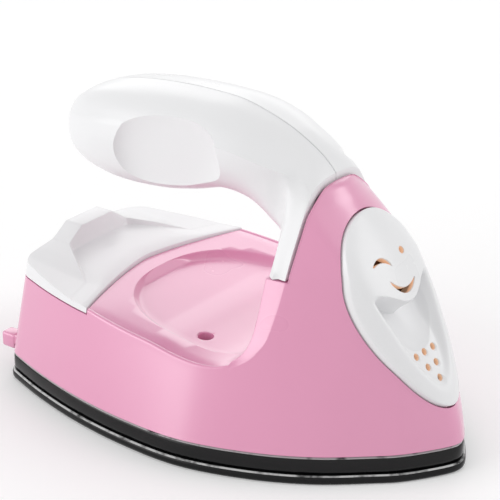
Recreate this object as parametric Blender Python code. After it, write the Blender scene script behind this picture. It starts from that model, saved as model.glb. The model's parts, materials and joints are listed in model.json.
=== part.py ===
"""Mini handheld heat press, modelled as the pieces that it comes apart into.

The nose points along +X and the press stands on its sole, with +Z up.
The origin lies under the middle of the whole press, on the face of the sole.
"""
import math

import bmesh
import bpy
from mathutils import Matrix, Vector

# Gap kept between two pieces that touch, and the overrun of a cut past its piece
GAP = 0.0003
OVERRUN = 0.006

# Sole and base frame
SOLE_LENGTH = 0.1048
SOLE_WIDTH = 0.0692
SOLE_THICKNESS = 0.0022
SOLE_EDGE_ROUND = 0.0006
SOLE_CORNER = 0.0030
SOLE_TIP_DEPTH = 0.0088
PLATFORM_HEIGHT = 0.0024
PLATFORM_CLEARANCE = 0.0012
FRAME_HEIGHT = 0.00365
FRAME_INSET = 0.0004
FRAME_TAPER = 0.0004

# Half width of the sole along its length, from the heel to just past the tip
PLAN_SHARES = (
    (0.0, 0.705), (0.048, 0.762), (0.134, 0.85), (0.258, 0.942), (0.401, 0.997), (0.544, 0.991),
    (0.687, 0.861), (0.802, 0.676), (0.897, 0.442), (0.964, 0.266), (1.012, 0.142),
)

# Shell: its ridge seen from the side, as shares of the sole's length and of the shell's rise
SHELL_RISE = 0.0522
SHELL_INSET = 0.0005
SHELL_WALL = 0.0026
SHELL_CORNER = 0.0032
SHELL_REAR_LEAN = 0.06
CAP_DEPTH = 0.0062
RIDGE_SHARES = (
    (0.0, 1.0), (0.074, 0.992), (0.17, 0.975), (0.265, 0.954), (0.399, 0.925), (0.533, 0.890),
    (0.667, 0.845), (0.763, 0.804), (0.84, 0.767), (0.9, 0.7385), (0.936, 0.7242), (0.9646, 0.710),
    (0.9705, 0.6966), (0.976, 0.670),
)
CAP_DEPTH_SHARES = ((0.0, 1.45), (0.15, 1.0), (0.36, 0.75), (0.74, 0.74), (1.0, 1.3))
SHOULDER_RISE = 0.0350
SHOULDER_LEAN = 0.23
LEAN_SHARES = (
    (0.0, 0.24), (0.26, 0.25), (0.5, 0.335), (0.69, 0.339), (0.8, 0.329), (0.9, 0.29), (1.02, 0.25),
)
# Heights at which the shell's outline is drawn, fine for its outside and coarse for its inside
MOUND_SHARES = (
    0.0, 0.07, 0.16, 0.26, 0.36, 0.46, 0.53, 0.58, 0.65, 0.72, 0.78, 0.83, 0.87, 0.905, 0.936, 0.955,
    0.966, 0.9735,
)
COARSE_SHARES = (0.0, 0.16, 0.36, 0.53, 0.58, 0.7, 0.8, 0.875, 0.92, 0.96)
MOUND_SPLIT_SHARE = 0.55

# Saddle under the handle, seen from the side: heights above the shell's foot
DECK_RISE = 0.0186
DECK_SHARES = (
    (-0.12, 1.035), (0.2, 1.03), (0.267, 1.0), (0.373, 0.937), (0.44, 0.899), (0.491, 0.853),
    (0.55, 0.819), (0.591, 0.828), (0.615, 0.87),
)
SADDLE_STEP_SHARES = (0.1, 0.2, 0.26, 0.31, 0.36, 0.41, 0.455, 0.5, 0.545, 0.575, 0.6, 0.615)
SADDLE_WALL_SHARES = ((0.631, 0.525), (0.6395, 0.585), (0.6445, 0.665), (0.647, 0.84), (0.647, 1.0))
SADDLE_WALL_RISE = 0.0339
SADDLE_WALL = 0.0032
COLLAR_FOOT_SHARE = 0.6935
COLLAR_TOP_SHARE = 0.6945
BAND_DEPTH = 0.0018
BAND_RISE = 0.0366
# Front edge of the side band: height above the shell's foot and place along the sole
BAND_SHARES = (
    (0.0166, 0.636), (0.0181, 0.655), (0.0199, 0.667), (0.0216, 0.676), (0.0238, 0.681), (0.0266, 0.685),
    (0.0290, 0.688), (0.0316, 0.690), (0.0336, 0.6905), (0.0366, 0.6925),
)

# Dish sunk into the saddle, and the two screw wells in it
DISH_REAR_SHARE = 0.243
DISH_LENGTH = 0.047
DISH_WIDTH = 0.0440
DISH_DEPTH = 0.0017
DISH_END_SHARE = 0.598
WELL_SHARE = 0.487
WELL_SPREAD = 0.0165
WELL_RADIUS = 0.0019
POST_RADIUS = 0.0036
HEAD_FLOOR = 0.0125

# Heel pegs
PEG_REACH = 0.0040
PEG_WIDTH = 0.0034
PEG_HEIGHT = 0.0036
PEG_SPREAD = 0.0203
PEG_RISE = 0.0002
PEG_DROP = 0.0013

# Rear cover
COVER_SEAT_RISE = 0.0179
COVER_WALL = 0.0018
COVER_FRONT_SHARE = 0.2
COVER_FRONT_SWEEP = 0.0065
COVER_FRONT_REACH = 0.0277
COVER_CREST = 0.0080
COVER_HOLE_LENGTH = 0.0100
COVER_HOLE_WIDTH = 0.0180
# Across the half width: place of the step, then heights of its foot, its top and the rear edge
COVER_SHARES = (
    (0.0, 0.072, 0.36, 0.95, 0.95), (0.17, 0.072, 0.36, 0.95, 0.93), (0.31, 0.072, 0.35, 0.57, 0.58),
    (0.45, 0.13, 0.31, 0.42, 0.54), (0.59, 0.187, 0.2, 0.21, 0.49), (0.74, 0.2, 0.17, 0.18, 0.46),
    (1.0, 0.225, 0.12, 0.13, 0.44),
)
COVER_SECTION_SHARES = (0.0, 0.085, 0.17, 0.24, 0.31, 0.38, 0.45, 0.52, 0.59, 0.665, 0.74, 0.87, 1.0)
COVER_HALF_WIDTH = 0.0310
COVER_EDGE_SHARE = 0.1
COVER_BOW_SHARE = 0.17
COVER_BITE = 0.0022
LEDGE_WALL = 0.0020
COVER_MOUND_SHARES = (0.2, 0.36, 0.5, 0.54)

# Handle: the two shells of the grip
HANDLE_WIDTH = 0.0284
HANDLE_DEPTH = 0.0294
HANDLE_TOP = 0.0697
HANDLE_REAR_SHARE = 0.0286
HANDLE_COLLAR_SHARE = 0.956
HANDLE_WALL = 0.0022
GRIP_ROUND = 2.4
# Rear of the grip: place along the handle, top, bottom and half width
GRIP_SHARES = (
    (0.010, 0.357, 0.534, 0.225), (0.030, 0.276, 0.616, 0.437), (0.075, 0.187, 0.697, 0.676),
    (0.151, 0.105, 0.759, 0.859), (0.260, 0.044, 0.793, 0.972), (0.397, 0.010, 0.779, 1.0),
    (0.520, 0.003, 0.718, 0.986),
)
# Front of the grip: nine points from the top seam round the side to the bottom seam
NECK_SHARES = (
    (0.630, ((0.0, 0.017), (0.394, 0.034), (0.739, 0.099), (0.944, 0.221), (0.958, 0.35), (0.845, 0.48),
             (0.634, 0.582), (0.338, 0.639), (0.0, 0.656))),
    (0.726, ((0.0, 0.075), (0.373, 0.088), (0.704, 0.146), (0.930, 0.241), (0.887, 0.378), (0.768, 0.507),
             (0.577, 0.616), (0.310, 0.687), (0.0, 0.718))),
    (0.808, ((0.0, 0.148), (0.317, 0.167), (0.634, 0.228), (0.838, 0.299), (0.780, 0.430), (0.735, 0.568),
             (0.630, 0.704), (0.365, 0.799), (0.0, 0.833))),
    (0.870, ((0.0, 0.230), (0.282, 0.245), (0.535, 0.292), (0.704, 0.347), (0.690, 0.450), (0.718, 0.600),
             (0.768, 0.770), (0.563, 0.908), (0.0, 0.929))),
    (0.893, ((0.0, 0.267), (0.254, 0.279), (0.479, 0.320), (0.634, 0.381), (0.760, 0.534), (0.915, 0.711),
             (1.070, 0.857), (1.218, 1.0), (0.0, 1.0))),
    (0.9233, ((0.0, 0.3265), (0.246, 0.337), (0.465, 0.367), (0.599, 0.405), (0.746, 0.548), (0.923, 0.714),
              (1.070, 0.850), (1.225, 1.0), (0.0, 1.0))),
    (0.9560, ((0.0, 0.415), (0.246, 0.418), (0.444, 0.435), (0.613, 0.483), (0.732, 0.551), (0.923, 0.711),
              (1.063, 0.830), (1.232, 1.0), (0.0, 1.0))),
)
CREASE_POINT = 3
FOOT_POINT = 7

# Thumb rest: the ball that scoops it out of each side
THUMB_LENGTH = 0.0364
THUMB_WIDTH = 0.0120
THUMB_HEIGHT = 0.0356
THUMB_DEPTH = 0.0031
THUMB_SHARE = 0.452
THUMB_DROP = 0.0105
THUMB_TILT = 6.0

BOSS_BITE = 0.0050
HANDLE_HEAD_SEAT = 0.0060

# Tongues that hang inside the shell and are screwed to the saddle wall
TONGUE_THICKNESS = 0.0024
TONGUE_WIDTH = 0.0080
TONGUE_DROP = 0.0095
TONGUE_SPREAD = 0.0075
TONGUE_SCREW_DROP = 0.0060
TONGUE_ROOT = 0.0030

# Front panel
PANEL_TOP_SHARES = (0.753, 0.865)
PANEL_BOTTOM_SHARES = (0.977, 0.158)
PANEL_WIDTH = 0.0264
PANEL_EGG = 0.25
PANEL_PROUD = 0.0008
PANEL_SEAT = 0.0016
PANEL_SKIN = 0.0014
# Relief of the panel: the round face, its chin, and the bib with a hollow under the chin
FACE_HEIGHT = 0.0019
FACE_CROWN_SHARE = 0.27
FACE_BOW_SHARE = 0.525
CHIN_SHARE = 0.478
CHIN_SWEEP = 0.0050
CHIN_REACH = 0.0085
CHIN_ROUND = 0.0006
CHIN_FADE = 0.0035
BIB_SHARE = 0.72
BIB_HEIGHT = -0.00125
BIB_RISE = 0.14
BIB_BOW_SHARE = 0.437
HOLLOW_WIDTH = 0.0144
HOLLOW_END_SHARE = 0.686
HOLLOW_DEPTH = 0.0018
# Rows of the relief, counted from the chin, and its columns, both in shares of the panel's length
RELIEF_ROW_SHARES = (
    -0.55, -0.42, -0.28, -0.16, -0.08, -0.03, -0.008, 0.008, 0.03, 0.08, 0.13, 0.17, 0.2, 0.235, 0.3,
    0.38, 0.48, 0.66,
)
RELIEF_COLUMN_SHARES = (0.0, 0.045, 0.09, 0.135, 0.17, 0.205, 0.24, 0.275, 0.34)
SIEVE_HOLE = 0.0015
SIEVE_PITCH = 0.0031
SIEVE_ROW_SHARE = 0.97
SIEVE_TOP_SHARE = 0.72
SIEVE_COUNTS = (3, 2, 1)
EYE_HOLE = 0.0019
EYE_PLACE_SHARE = 0.245
EYE_SPREAD = 0.0039
WINK_WIDTH = 0.0052
WINK_RISE = 0.0013
WINK_TILT = 14.0
SMILE_WIDTH = 0.0080
SMILE_RISE = 0.0023
SMILE_TILT = 11.0
SMILE_PLACE_SHARE = 0.365
SMILE_SLIT = 0.0013
WINK_SLIT = 0.0008

# Lamp unit behind the panel
WINDOW_SHARE = 0.9
DIFFUSER_SHARE = 0.9
DIFFUSER_DEPTH = 0.0062
DIFFUSER_THICKNESS = 0.0016
BOARD_LENGTH = 0.0180
BOARD_WIDTH = 0.0110
BOARD_THICKNESS = 0.0012
BOARD_DEPTH = 0.0118
LAMP_RADIUS = 0.0015
LAMP_LENGTH = 0.0034
LAMP_SPREAD = 0.0030
RESISTOR_RADIUS = 0.0009
RESISTOR_LENGTH = 0.0042
STANDOFF_RADIUS = 0.0017
STANDOFF_SPREAD = 0.0070
PANEL_POST_RADIUS = 0.0014
PANEL_POST_SHARES = (0.11, 0.914)
PANEL_BITE_FROM = 0.0030

# Heater stack on the platform
HEATER_SHARE = 0.458
HEATER_LENGTH_SHARE = 0.40
HEATER_WIDTH = 0.0220
HEATER_THICKNESS = 0.0030
MICA_OVERHANG = 0.0010
MICA_THICKNESS = 0.0005
CLAMP_WIDTH = 0.0160
CLAMP_THICKNESS = 0.0012
CLAMP_END = 0.0068
CLAMP_BOSS_RADIUS = 0.0027
PLATFORM_MARGIN = 0.0034
CAN_RADIUS = 0.0062
CAN_HEIGHT = 0.0048
CAN_SHIFT_SHARE = 0.205
FLANGE_LENGTH = 0.0220
FLANGE_WIDTH = 0.0072
FLANGE_THICKNESS = 0.0008
TAB_LENGTH = 0.0034
TAB_WIDTH = 0.0030
TAB_THICKNESS = 0.0006
FUSE_RADIUS = 0.0019
FUSE_LENGTH = 0.0100
FUSE_WIRE_RADIUS = 0.0005
FUSE_WIRE_LENGTH = 0.0030
FUSE_SHIFT_SHARE = -0.284
CLIP_WIDTH = 0.0040
CLIP_THICKNESS = 0.0006
CLIP_FOOT = 0.0026

# Terminal block and cord gland
BLOCK_LENGTH = 0.0075
BLOCK_WIDTH = 0.0150
BLOCK_HEIGHT = 0.0080
BLOCK_SHARE = 0.130
BLOCK_HOLE_RISE = 0.0032
BLOCK_HOLE_SPREADS = (0.0034, 0.0058)
BLOCK_SCREW_DROP = 0.0045
GLAND_RADIUS = 0.0022
GLAND_BORE_RADIUS = 0.0015
GLAND_FLANGE_RADIUS = 0.0030
GLAND_FLANGE_THICKNESS = 0.0010
GLAND_LENGTH = 0.0050
GLAND_RISE = 0.0034
CORD_CLAMP_WIDTH = 0.0130
CORD_CLAMP_LENGTH = 0.0040
CORD_CLAMP_HEIGHT = 0.0034
CORD_CLAMP_SHARE = 0.061
CORD_CLAMP_SPREAD = 0.0044
CORD_GROOVE_RADIUS = 0.0019
FRAME_BITE = 0.0022

# Leads: radius, unit of their courses and the gap at their ends
LEAD_RADIUS = 0.0006
LEAD_STEP = 0.0020
LEAD_GAP = 0.00045

# Screws: shaft radius, head radius and head height
SCREW_RADIUS = 0.0009
SCREW_HEAD_RADIUS = 0.0016
SCREW_HEAD_HEIGHT = 0.0012
SMALL_SCREW_RADIUS = 0.0007
SMALL_HEAD_RADIUS = 0.0013
SMALL_HEAD_HEIGHT = 0.0008
SCREW_SIDES = 8
SOLE_SCREW_FRONT_SHARE = 0.868
SOLE_SCREW_REAR_SHARE = 0.098
SOLE_SCREW_SPREAD = 0.0165
SOLE_SCREW_BITE = 0.0013
HANDLE_SCREW_SHARES = ((0.14, 0.42), (0.66, 0.33), (0.80, 0.52))
COVER_SCREW_SHARE = 0.112
COVER_SCREW_SPREAD = 0.0135

# Steps along the lofted forms
CORNER_STEPS = 4
SIDE_STEPS = 10
NOSE_STEPS = 10
RING_STEPS = 2

# Derived places
TOTAL_LENGTH = SOLE_LENGTH + PEG_REACH
SOLE_REAR = PEG_REACH - TOTAL_LENGTH / 2
FRAME_FOOT = SOLE_THICKNESS + GAP
FRAME_TOP = FRAME_FOOT + FRAME_HEIGHT
SHELL_FOOT = FRAME_TOP + GAP
COVER_SEAT = SHELL_FOOT + COVER_SEAT_RISE
HUMP_REAR_SHARE = 0.60
FRONT_SHARE = 0.63
HANDLE_REAR = SOLE_REAR + HANDLE_REAR_SHARE * SOLE_LENGTH
HANDLE_LENGTH = (COLLAR_TOP_SHARE - HANDLE_REAR_SHARE) * SOLE_LENGTH / HANDLE_COLLAR_SHARE
HEATER_LENGTH = HEATER_LENGTH_SHARE * SOLE_LENGTH
LEG_END = HANDLE_TOP - HANDLE_DEPTH
PLATFORM_TOP = SOLE_THICKNESS + PLATFORM_HEIGHT

for old in list(bpy.data.objects):
    bpy.data.objects.remove(old, do_unlink=True)

PARTS = bpy.data.collections.new("mini_heat_press")
CUTTERS = bpy.data.collections.new("cutters")
bpy.context.scene.collection.children.link(PARTS)
bpy.context.scene.collection.children.link(CUTTERS)


def make_material(name, colour, roughness, metallic=0.0):
    """Principled material with the piece's own colour."""
    material = bpy.data.materials.new(name)
    material.use_nodes = True
    shader = material.node_tree.nodes["Principled BSDF"]
    shader.inputs["Base Color"].default_value = (*colour, 1.0)
    shader.inputs["Roughness"].default_value = roughness
    shader.inputs["Metallic"].default_value = metallic
    return material


def along(share):
    """Place along the sole's length, from the heel at 0 to the tip at 1."""
    return SOLE_REAR + share * SOLE_LENGTH


def read_curve(table, place, column=1):
    """Smooth curve through the rows of a table, read at a place in its first column."""
    rows = [(row[0], row[column]) for row in table]
    last = len(rows) - 1
    k = 0
    while k < last - 1 and place > rows[k + 1][0]:
        k += 1
    slopes = []
    for n in (k, k + 1):
        before = rows[max(n - 1, 0)]
        after = rows[min(n + 1, last)]
        slopes.append((after[1] - before[1]) / (after[0] - before[0]))
    (x0, y0), (x1, y1) = rows[k], rows[k + 1]
    span = x1 - x0
    t = min(max((place - x0) / span, 0.0), 1.0)
    value = (1 + 2 * t) * (1 - t) ** 2 * y0 + t * t * (3 - 2 * t) * y1
    value += span * (t * (1 - t) ** 2 * slopes[0] - t * t * (1 - t) * slopes[1])
    if place < rows[0][0]:
        return rows[0][1]
    return value


def put_mesh(name, bm, collection, material=None):
    """Object made from a bmesh, linked to its collection."""
    bmesh.ops.recalc_face_normals(bm, faces=bm.faces)
    mesh = bpy.data.meshes.new(name)
    bm.to_mesh(mesh)
    bm.free()
    obj = bpy.data.objects.new(name, mesh)
    collection.objects.link(obj)
    if material:
        mesh.materials.append(material)
    if collection == CUTTERS:
        obj.hide_render = True
        obj.display_type = "WIRE"
    return obj


def smooth(obj, angle=35.0):
    """Shade a round piece smooth and keep its sharp edges."""
    obj.data.shade_smooth()
    obj.data.set_sharp_from_angle(angle=math.radians(angle))
    return obj


def combine(obj, other, operation="DIFFERENCE"):
    """Boolean modifier with the exact solver."""
    modifier = obj.modifiers.new(operation.lower(), "BOOLEAN")
    modifier.operation = operation
    modifier.solver = "EXACT"
    modifier.object = other
    return obj


def loft(bm, rings):
    """Skin a list of rings that all have the same number of points, closed at both ends."""
    loops = [[bm.verts.new(point) for point in ring] for ring in rings]
    count = len(loops[0])
    for low, high in zip(loops, loops[1:]):
        for k in range(count):
            n = (k + 1) % count
            bm.faces.new((low[k], low[n], high[n], high[k]))
    bm.faces.new(list(reversed(loops[0])))
    bm.faces.new(loops[-1])


def to_part(obj, material):
    """Move a form from the cutters to the pieces of the press."""
    CUTTERS.objects.unlink(obj)
    PARTS.objects.link(obj)
    obj.hide_render = False
    obj.display_type = "TEXTURED"
    obj.data.materials.append(material)


def full_ring(half):
    """Close a half outline, given from its rear to its front on the +Y side, by its mirror image."""
    return half + [(x, -y) for x, y in reversed(half[1:-1])]


def box(name, low, high, collection=CUTTERS, material=None):
    """Block between two corners."""
    bm = bmesh.new()
    bmesh.ops.create_cube(bm, size=1.0)
    size = [b - a for a, b in zip(low, high)]
    middle = [(a + b) / 2 for a, b in zip(low, high)]
    bmesh.ops.scale(bm, vec=size, verts=bm.verts)
    bmesh.ops.translate(bm, vec=middle, verts=bm.verts)
    return put_mesh(name, bm, collection, material)


def rod(bm, start, end, radius, end_radius=None, sides=SCREW_SIDES):
    """Round bar from one point to another."""
    start = Vector(start)
    end = Vector(end)
    axis = end - start
    place = Matrix.Translation((start + end) / 2) @ axis.to_track_quat("Z", "Y").to_matrix().to_4x4()
    bmesh.ops.create_cone(
        bm, cap_ends=True, segments=sides, radius1=radius,
        radius2=radius if end_radius is None else end_radius, depth=axis.length, matrix=place)


def rod_object(name, start, end, radius, collection=CUTTERS, material=None, sides=SCREW_SIDES):
    bm = bmesh.new()
    rod(bm, start, end, radius, sides=sides)
    return put_mesh(name, bm, collection, material)


def turned(name, profile, start, direction, collection, material, sides=SCREW_SIDES):
    """Turned piece: a profile of radius and height, from its top down, spun round its axis."""
    bm = bmesh.new()
    points = [bm.verts.new((radius, 0.0, height)) for radius, height in profile]
    for a, b in zip(points, points[1:]):
        bm.edges.new((a, b))
    bmesh.ops.spin(
        bm, geom=bm.verts[:] + bm.edges[:], cent=(0, 0, 0), axis=(0, 0, 1),
        angle=math.tau, steps=sides, use_merge=True)
    bmesh.ops.remove_doubles(bm, verts=bm.verts, dist=GAP / 100)
    turn = Vector(direction).to_track_quat("Z", "Y").to_matrix().to_4x4()
    bmesh.ops.transform(bm, matrix=Matrix.Translation(start) @ turn, verts=bm.verts)
    return put_mesh(name, bm, collection, material)


def screw_profile(radius, length, head_radius, head_height):
    """Pan head over a shaft; height 0 is the underside of the head and the head points up."""
    return (
        (0.0, head_height), (head_radius * 0.7, head_height), (head_radius, head_height * 0.5),
        (head_radius, 0.0), (radius, 0.0), (radius, -length + radius), (0.0, -length),
    )


def screws(name, places, direction, radius, length, head_radius, head_height, material):
    """Like screws, one object each, with their heads' undersides at the places."""
    for k, place in enumerate(places):
        smooth(turned(
            "%s_%d" % (name, k + 1), screw_profile(radius, length, head_radius, head_height),
            place, direction, PARTS, material))


# Outline and mound: the plan of the press and the form that the shell is cut from


def wall_at(x, rise, inset):
    """Half width of the leaning side wall at a height above the shell's foot."""
    share = (x - SOLE_REAR) / SOLE_LENGTH
    half = read_curve(PLAN_SHARES, share) * SOLE_WIDTH / 2
    lean = read_curve(LEAN_SHARES, share) * rise + SHOULDER_LEAN * max(rise - SHOULDER_RISE, 0.0)
    return half - lean - inset


def plan_half(rear, nose, rise, inset, corner, cap_depth, front, sides=SIDE_STEPS, noses=NOSE_STEPS):
    """Half outline of the press at one height, from the heel round the side to the nose."""
    points = [(rear, 0.0)]
    for k in range(CORNER_STEPS + 1):
        a = math.pi / 2 * k / CORNER_STEPS
        x = rear + corner * (1 - math.cos(a))
        points.append((x, wall_at(x, rise, inset) - corner * (1 - math.sin(a))))
    start = rear + corner
    for k in range(1, sides + 1):
        x = start + (front - start) * k / sides
        points.append((x, wall_at(x, rise, inset)))
    for k in range(1, noses):
        x = front + (nose - front) * math.sin(math.pi / 2 * k / noses)
        depth = min((nose - x) / cap_depth, 1.0)
        points.append((x, wall_at(x, rise, inset) * math.sqrt(1 - (1 - depth) ** 2)))
    points.append((nose, 0.0))
    return points


def sole_half(inset):
    """Half outline of the sole, drawn in by an inset."""
    return plan_half(
        SOLE_REAR + inset, SOLE_REAR + SOLE_LENGTH - inset, 0.0, inset, SOLE_CORNER,
        SOLE_TIP_DEPTH, along(FRONT_SHARE))


def plate(name, layers, collection, material=None):
    """Plate skinned from sole outlines, each given as an inset and a height."""
    bm = bmesh.new()
    loft(bm, [[(x, y, z) for x, y in full_ring(sole_half(inset))] for inset, z in layers])
    return put_mesh(name, bm, collection, material)


def ridge_at(rise):
    """Place of the ridge at a height above the shell's foot, before its inset."""
    return along(read_curve(RIDGE_SHARES, rise / SHELL_RISE))


def mound(name, inset, foot=None, shares=MOUND_SHARES, sides=SIDE_STEPS, noses=NOSE_STEPS):
    """The whole leaning form of the shell, drawn in by an inset, with its foot at a given height."""
    bm = bmesh.new()
    rings = []
    step = SHELL_RISE / 200
    for share in shares:
        rise = share * SHELL_RISE
        fall = (ridge_at(rise - step) - ridge_at(rise + step)) / (2 * step)
        slant = 1 / math.sqrt(1 + fall * fall)
        nose = max(ridge_at(rise) - (SHELL_INSET + inset) / slant, along(FRONT_SHARE) + GAP)
        rear = along(0.0) + SHELL_INSET + inset + SHELL_REAR_LEAN * rise
        if share > MOUND_SPLIT_SHARE:
            rear = along(HUMP_REAR_SHARE)
        cap = CAP_DEPTH * read_curve(CAP_DEPTH_SHARES, share)
        half = plan_half(
            rear, nose, rise, SHELL_INSET + inset, SHELL_CORNER - min(inset, SHELL_CORNER / 2), cap,
            along(FRONT_SHARE), sides, noses)
        z = SHELL_FOOT + rise
        if share == shares[0] and foot is not None:
            z = foot
        rings.append([(x, y, z) for x, y in full_ring(half)])
    loft(bm, rings)
    return put_mesh(name, bm, CUTTERS)


def side_cutter(name, profile, half_width, collection=CUTTERS):
    """Prism of a side outline, given as places in X and Z, run across the press."""
    bm = bmesh.new()
    loft(bm, [[(x, y, z) for x, z in profile] for y in (-half_width, half_width)])
    return put_mesh(name, bm, collection)


def deck_height(share, lower=0.0):
    """Height of the saddle's deck at a share of the sole's length."""
    return SHELL_FOOT + DECK_RISE * read_curve(DECK_SHARES, share) - lower


def collar_line(setback):
    """The leaning joint between handle and shell: its foot and its top, moved rearwards by a setback."""
    foot = (along(COLLAR_FOOT_SHARE) - setback, LEG_END - GAP)
    top = (along(COLLAR_TOP_SHARE) - setback, HANDLE_TOP)
    return foot, top


def saddle_profile(wall, deck_wall, setback):
    """Side outline of all that lies above the deck and behind the hump."""
    far = along(DECK_SHARES[0][0]) - OVERRUN
    high = HANDLE_TOP + OVERRUN
    points = [(far, high), (far, deck_height(0.0, deck_wall))]
    if deck_wall:
        points = [(far, high), (far, deck_under_cover()), (along(0.3), deck_under_cover())]
    shares = SADDLE_STEP_SHARES
    if deck_wall:
        shares = shares[5:]
    bend = shares[-4]
    spread = SADDLE_WALL_SHARES[0][0] - bend
    points += [(along(x) + wall * max(x - bend, 0) / spread, deck_height(x, deck_wall)) for x in shares]
    for x_share, z_share in SADDLE_WALL_SHARES:
        points.append((along(x_share) + wall, SHELL_FOOT + SADDLE_WALL_RISE * z_share))
    foot, top = collar_line(setback)
    points += [foot, top, (top[0], high)]
    return points


PINK = make_material("pink_gloss", (0.89, 0.50, 0.65), 0.22)
WHITE = make_material("white_gloss", (0.88, 0.88, 0.89), 0.25)
BLACK = make_material("black_coating", (0.012, 0.012, 0.013), 0.45)
BASE_BLACK = make_material("black_heatproof", (0.016, 0.016, 0.018), 0.35)
AMBER = make_material("amber_diffuser", (0.75, 0.45, 0.25), 0.4)
STEEL = make_material("zinc_steel", (0.62, 0.62, 0.60), 0.35, 1.0)
CERAMIC = make_material("heater_ceramic", (0.80, 0.78, 0.72), 0.6)
MICA = make_material("mica_sheet", (0.55, 0.45, 0.32), 0.5)
BOARD_GREEN = make_material("board_green", (0.03, 0.22, 0.08), 0.4)
LAMP_RED = make_material("lamp_red", (0.75, 0.06, 0.04), 0.2)
RESISTOR_TAN = make_material("resistor_tan", (0.68, 0.52, 0.34), 0.5)
BRASS = make_material("fuse_case", (0.72, 0.62, 0.40), 0.35, 1.0)
BLOCK_WHITE = make_material("block_nylon", (0.80, 0.80, 0.76), 0.5)
GLAND_BLACK = make_material("gland_rubber", (0.03, 0.03, 0.03), 0.6)
LEAD_RED = make_material("lead_red", (0.55, 0.04, 0.03), 0.5)
LEAD_WHITE = make_material("lead_white", (0.80, 0.80, 0.78), 0.5)


def sole_screw_places():
    """Where the three screws of the base frame stand."""
    rear = along(SOLE_SCREW_REAR_SHARE)
    return (
        (along(SOLE_SCREW_FRONT_SHARE), 0.0), (rear, SOLE_SCREW_SPREAD), (rear, -SOLE_SCREW_SPREAD),
    )


def clamp_screw_places():
    """Where the two screws of the heater clamp stand."""
    reach = HEATER_LENGTH / 2 + CLAMP_END / 2
    middle = along(HEATER_SHARE)
    return ((middle - reach, 0.0), (middle + reach, 0.0))


def well_places():
    """Where the two body screws stand."""
    return ((along(WELL_SHARE), WELL_SPREAD), (along(WELL_SHARE), -WELL_SPREAD))


def platform_box(margin, low, high, name):
    """Block that follows the raised platform of the sole."""
    middle = along(HEATER_SHARE)
    reach = HEATER_LENGTH / 2 + CLAMP_END + PLATFORM_MARGIN - CLAMP_END / 2 + margin
    half = WELL_SPREAD + POST_RADIUS + margin
    block = box(name, (middle - reach, -half, low), (middle + reach, half, high))
    return block


def build_soleplate():
    """Pressed and coated plate with a raised platform for the heater."""
    sole = plate(
        "soleplate",
        ((SOLE_EDGE_ROUND, 0.0), (0.0, SOLE_EDGE_ROUND), (0.0, SOLE_THICKNESS - SOLE_EDGE_ROUND),
         (SOLE_EDGE_ROUND / 3, SOLE_THICKNESS - SOLE_EDGE_ROUND / 3), (SOLE_EDGE_ROUND, SOLE_THICKNESS)),
        PARTS, BLACK)
    combine(sole, platform_box(0.0, SOLE_THICKNESS / 2, PLATFORM_TOP, "platform"), "UNION")
    boss_top = PLATFORM_TOP + GAP + HEATER_THICKNESS + GAP + MICA_THICKNESS
    for k, (x, y) in enumerate(clamp_screw_places()):
        boss = rod_object("clamp_boss_%d" % k, (x, y, SOLE_THICKNESS), (x, y, boss_top), CLAMP_BOSS_RADIUS)
        combine(sole, boss, "UNION")
    for k, (x, y) in enumerate(clamp_screw_places()):
        bore = rod_object(
            "clamp_bore_%d" % k, (x, y, SOLE_THICKNESS), (x, y, boss_top + OVERRUN), SCREW_RADIUS + GAP)
        combine(sole, bore)
    for k, (x, y) in enumerate(well_places()):
        bore = rod_object(
            "body_bore_%d" % k, (x, y, SOLE_THICKNESS / 2), (x, y, PLATFORM_TOP + OVERRUN),
            SCREW_RADIUS + GAP)
        combine(sole, bore)
    for k, (x, y) in enumerate(sole_screw_places()):
        bore = rod_object(
            "sole_bore_%d" % k, (x, y, SOLE_THICKNESS - SOLE_SCREW_BITE - GAP),
            (x, y, SOLE_THICKNESS + OVERRUN), SCREW_RADIUS + GAP)
        combine(sole, bore)
    return smooth(sole)


def build_base_frame():
    """Heat resistant frame between the sole and the shell."""
    frame = plate(
        "base_frame",
        ((FRAME_INSET, FRAME_FOOT), (FRAME_INSET + FRAME_TAPER, FRAME_TOP)),
        PARTS, BASE_BLACK)
    combine(frame, platform_box(
        PLATFORM_CLEARANCE, FRAME_FOOT - OVERRUN, FRAME_TOP + OVERRUN, "platform_window"))
    seat = FRAME_TOP - SCREW_HEAD_HEIGHT - GAP
    for k, (x, y) in enumerate(sole_screw_places()):
        shaft = rod_object(
            "frame_bore_%d" % k, (x, y, FRAME_FOOT - OVERRUN), (x, y, FRAME_TOP + OVERRUN),
            SCREW_RADIUS + GAP)
        combine(frame, shaft)
        well = rod_object(
            "frame_well_%d" % k, (x, y, seat), (x, y, FRAME_TOP + OVERRUN), SCREW_HEAD_RADIUS + GAP)
        combine(frame, well)
    screws(
        "sole_screw", [(x, y, seat + GAP) for x, y in sole_screw_places()], (0, 0, 1), SCREW_RADIUS,
        seat + GAP - SOLE_THICKNESS + SOLE_SCREW_BITE, SCREW_HEAD_RADIUS, SCREW_HEAD_HEIGHT, STEEL)
    return smooth(frame)


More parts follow.
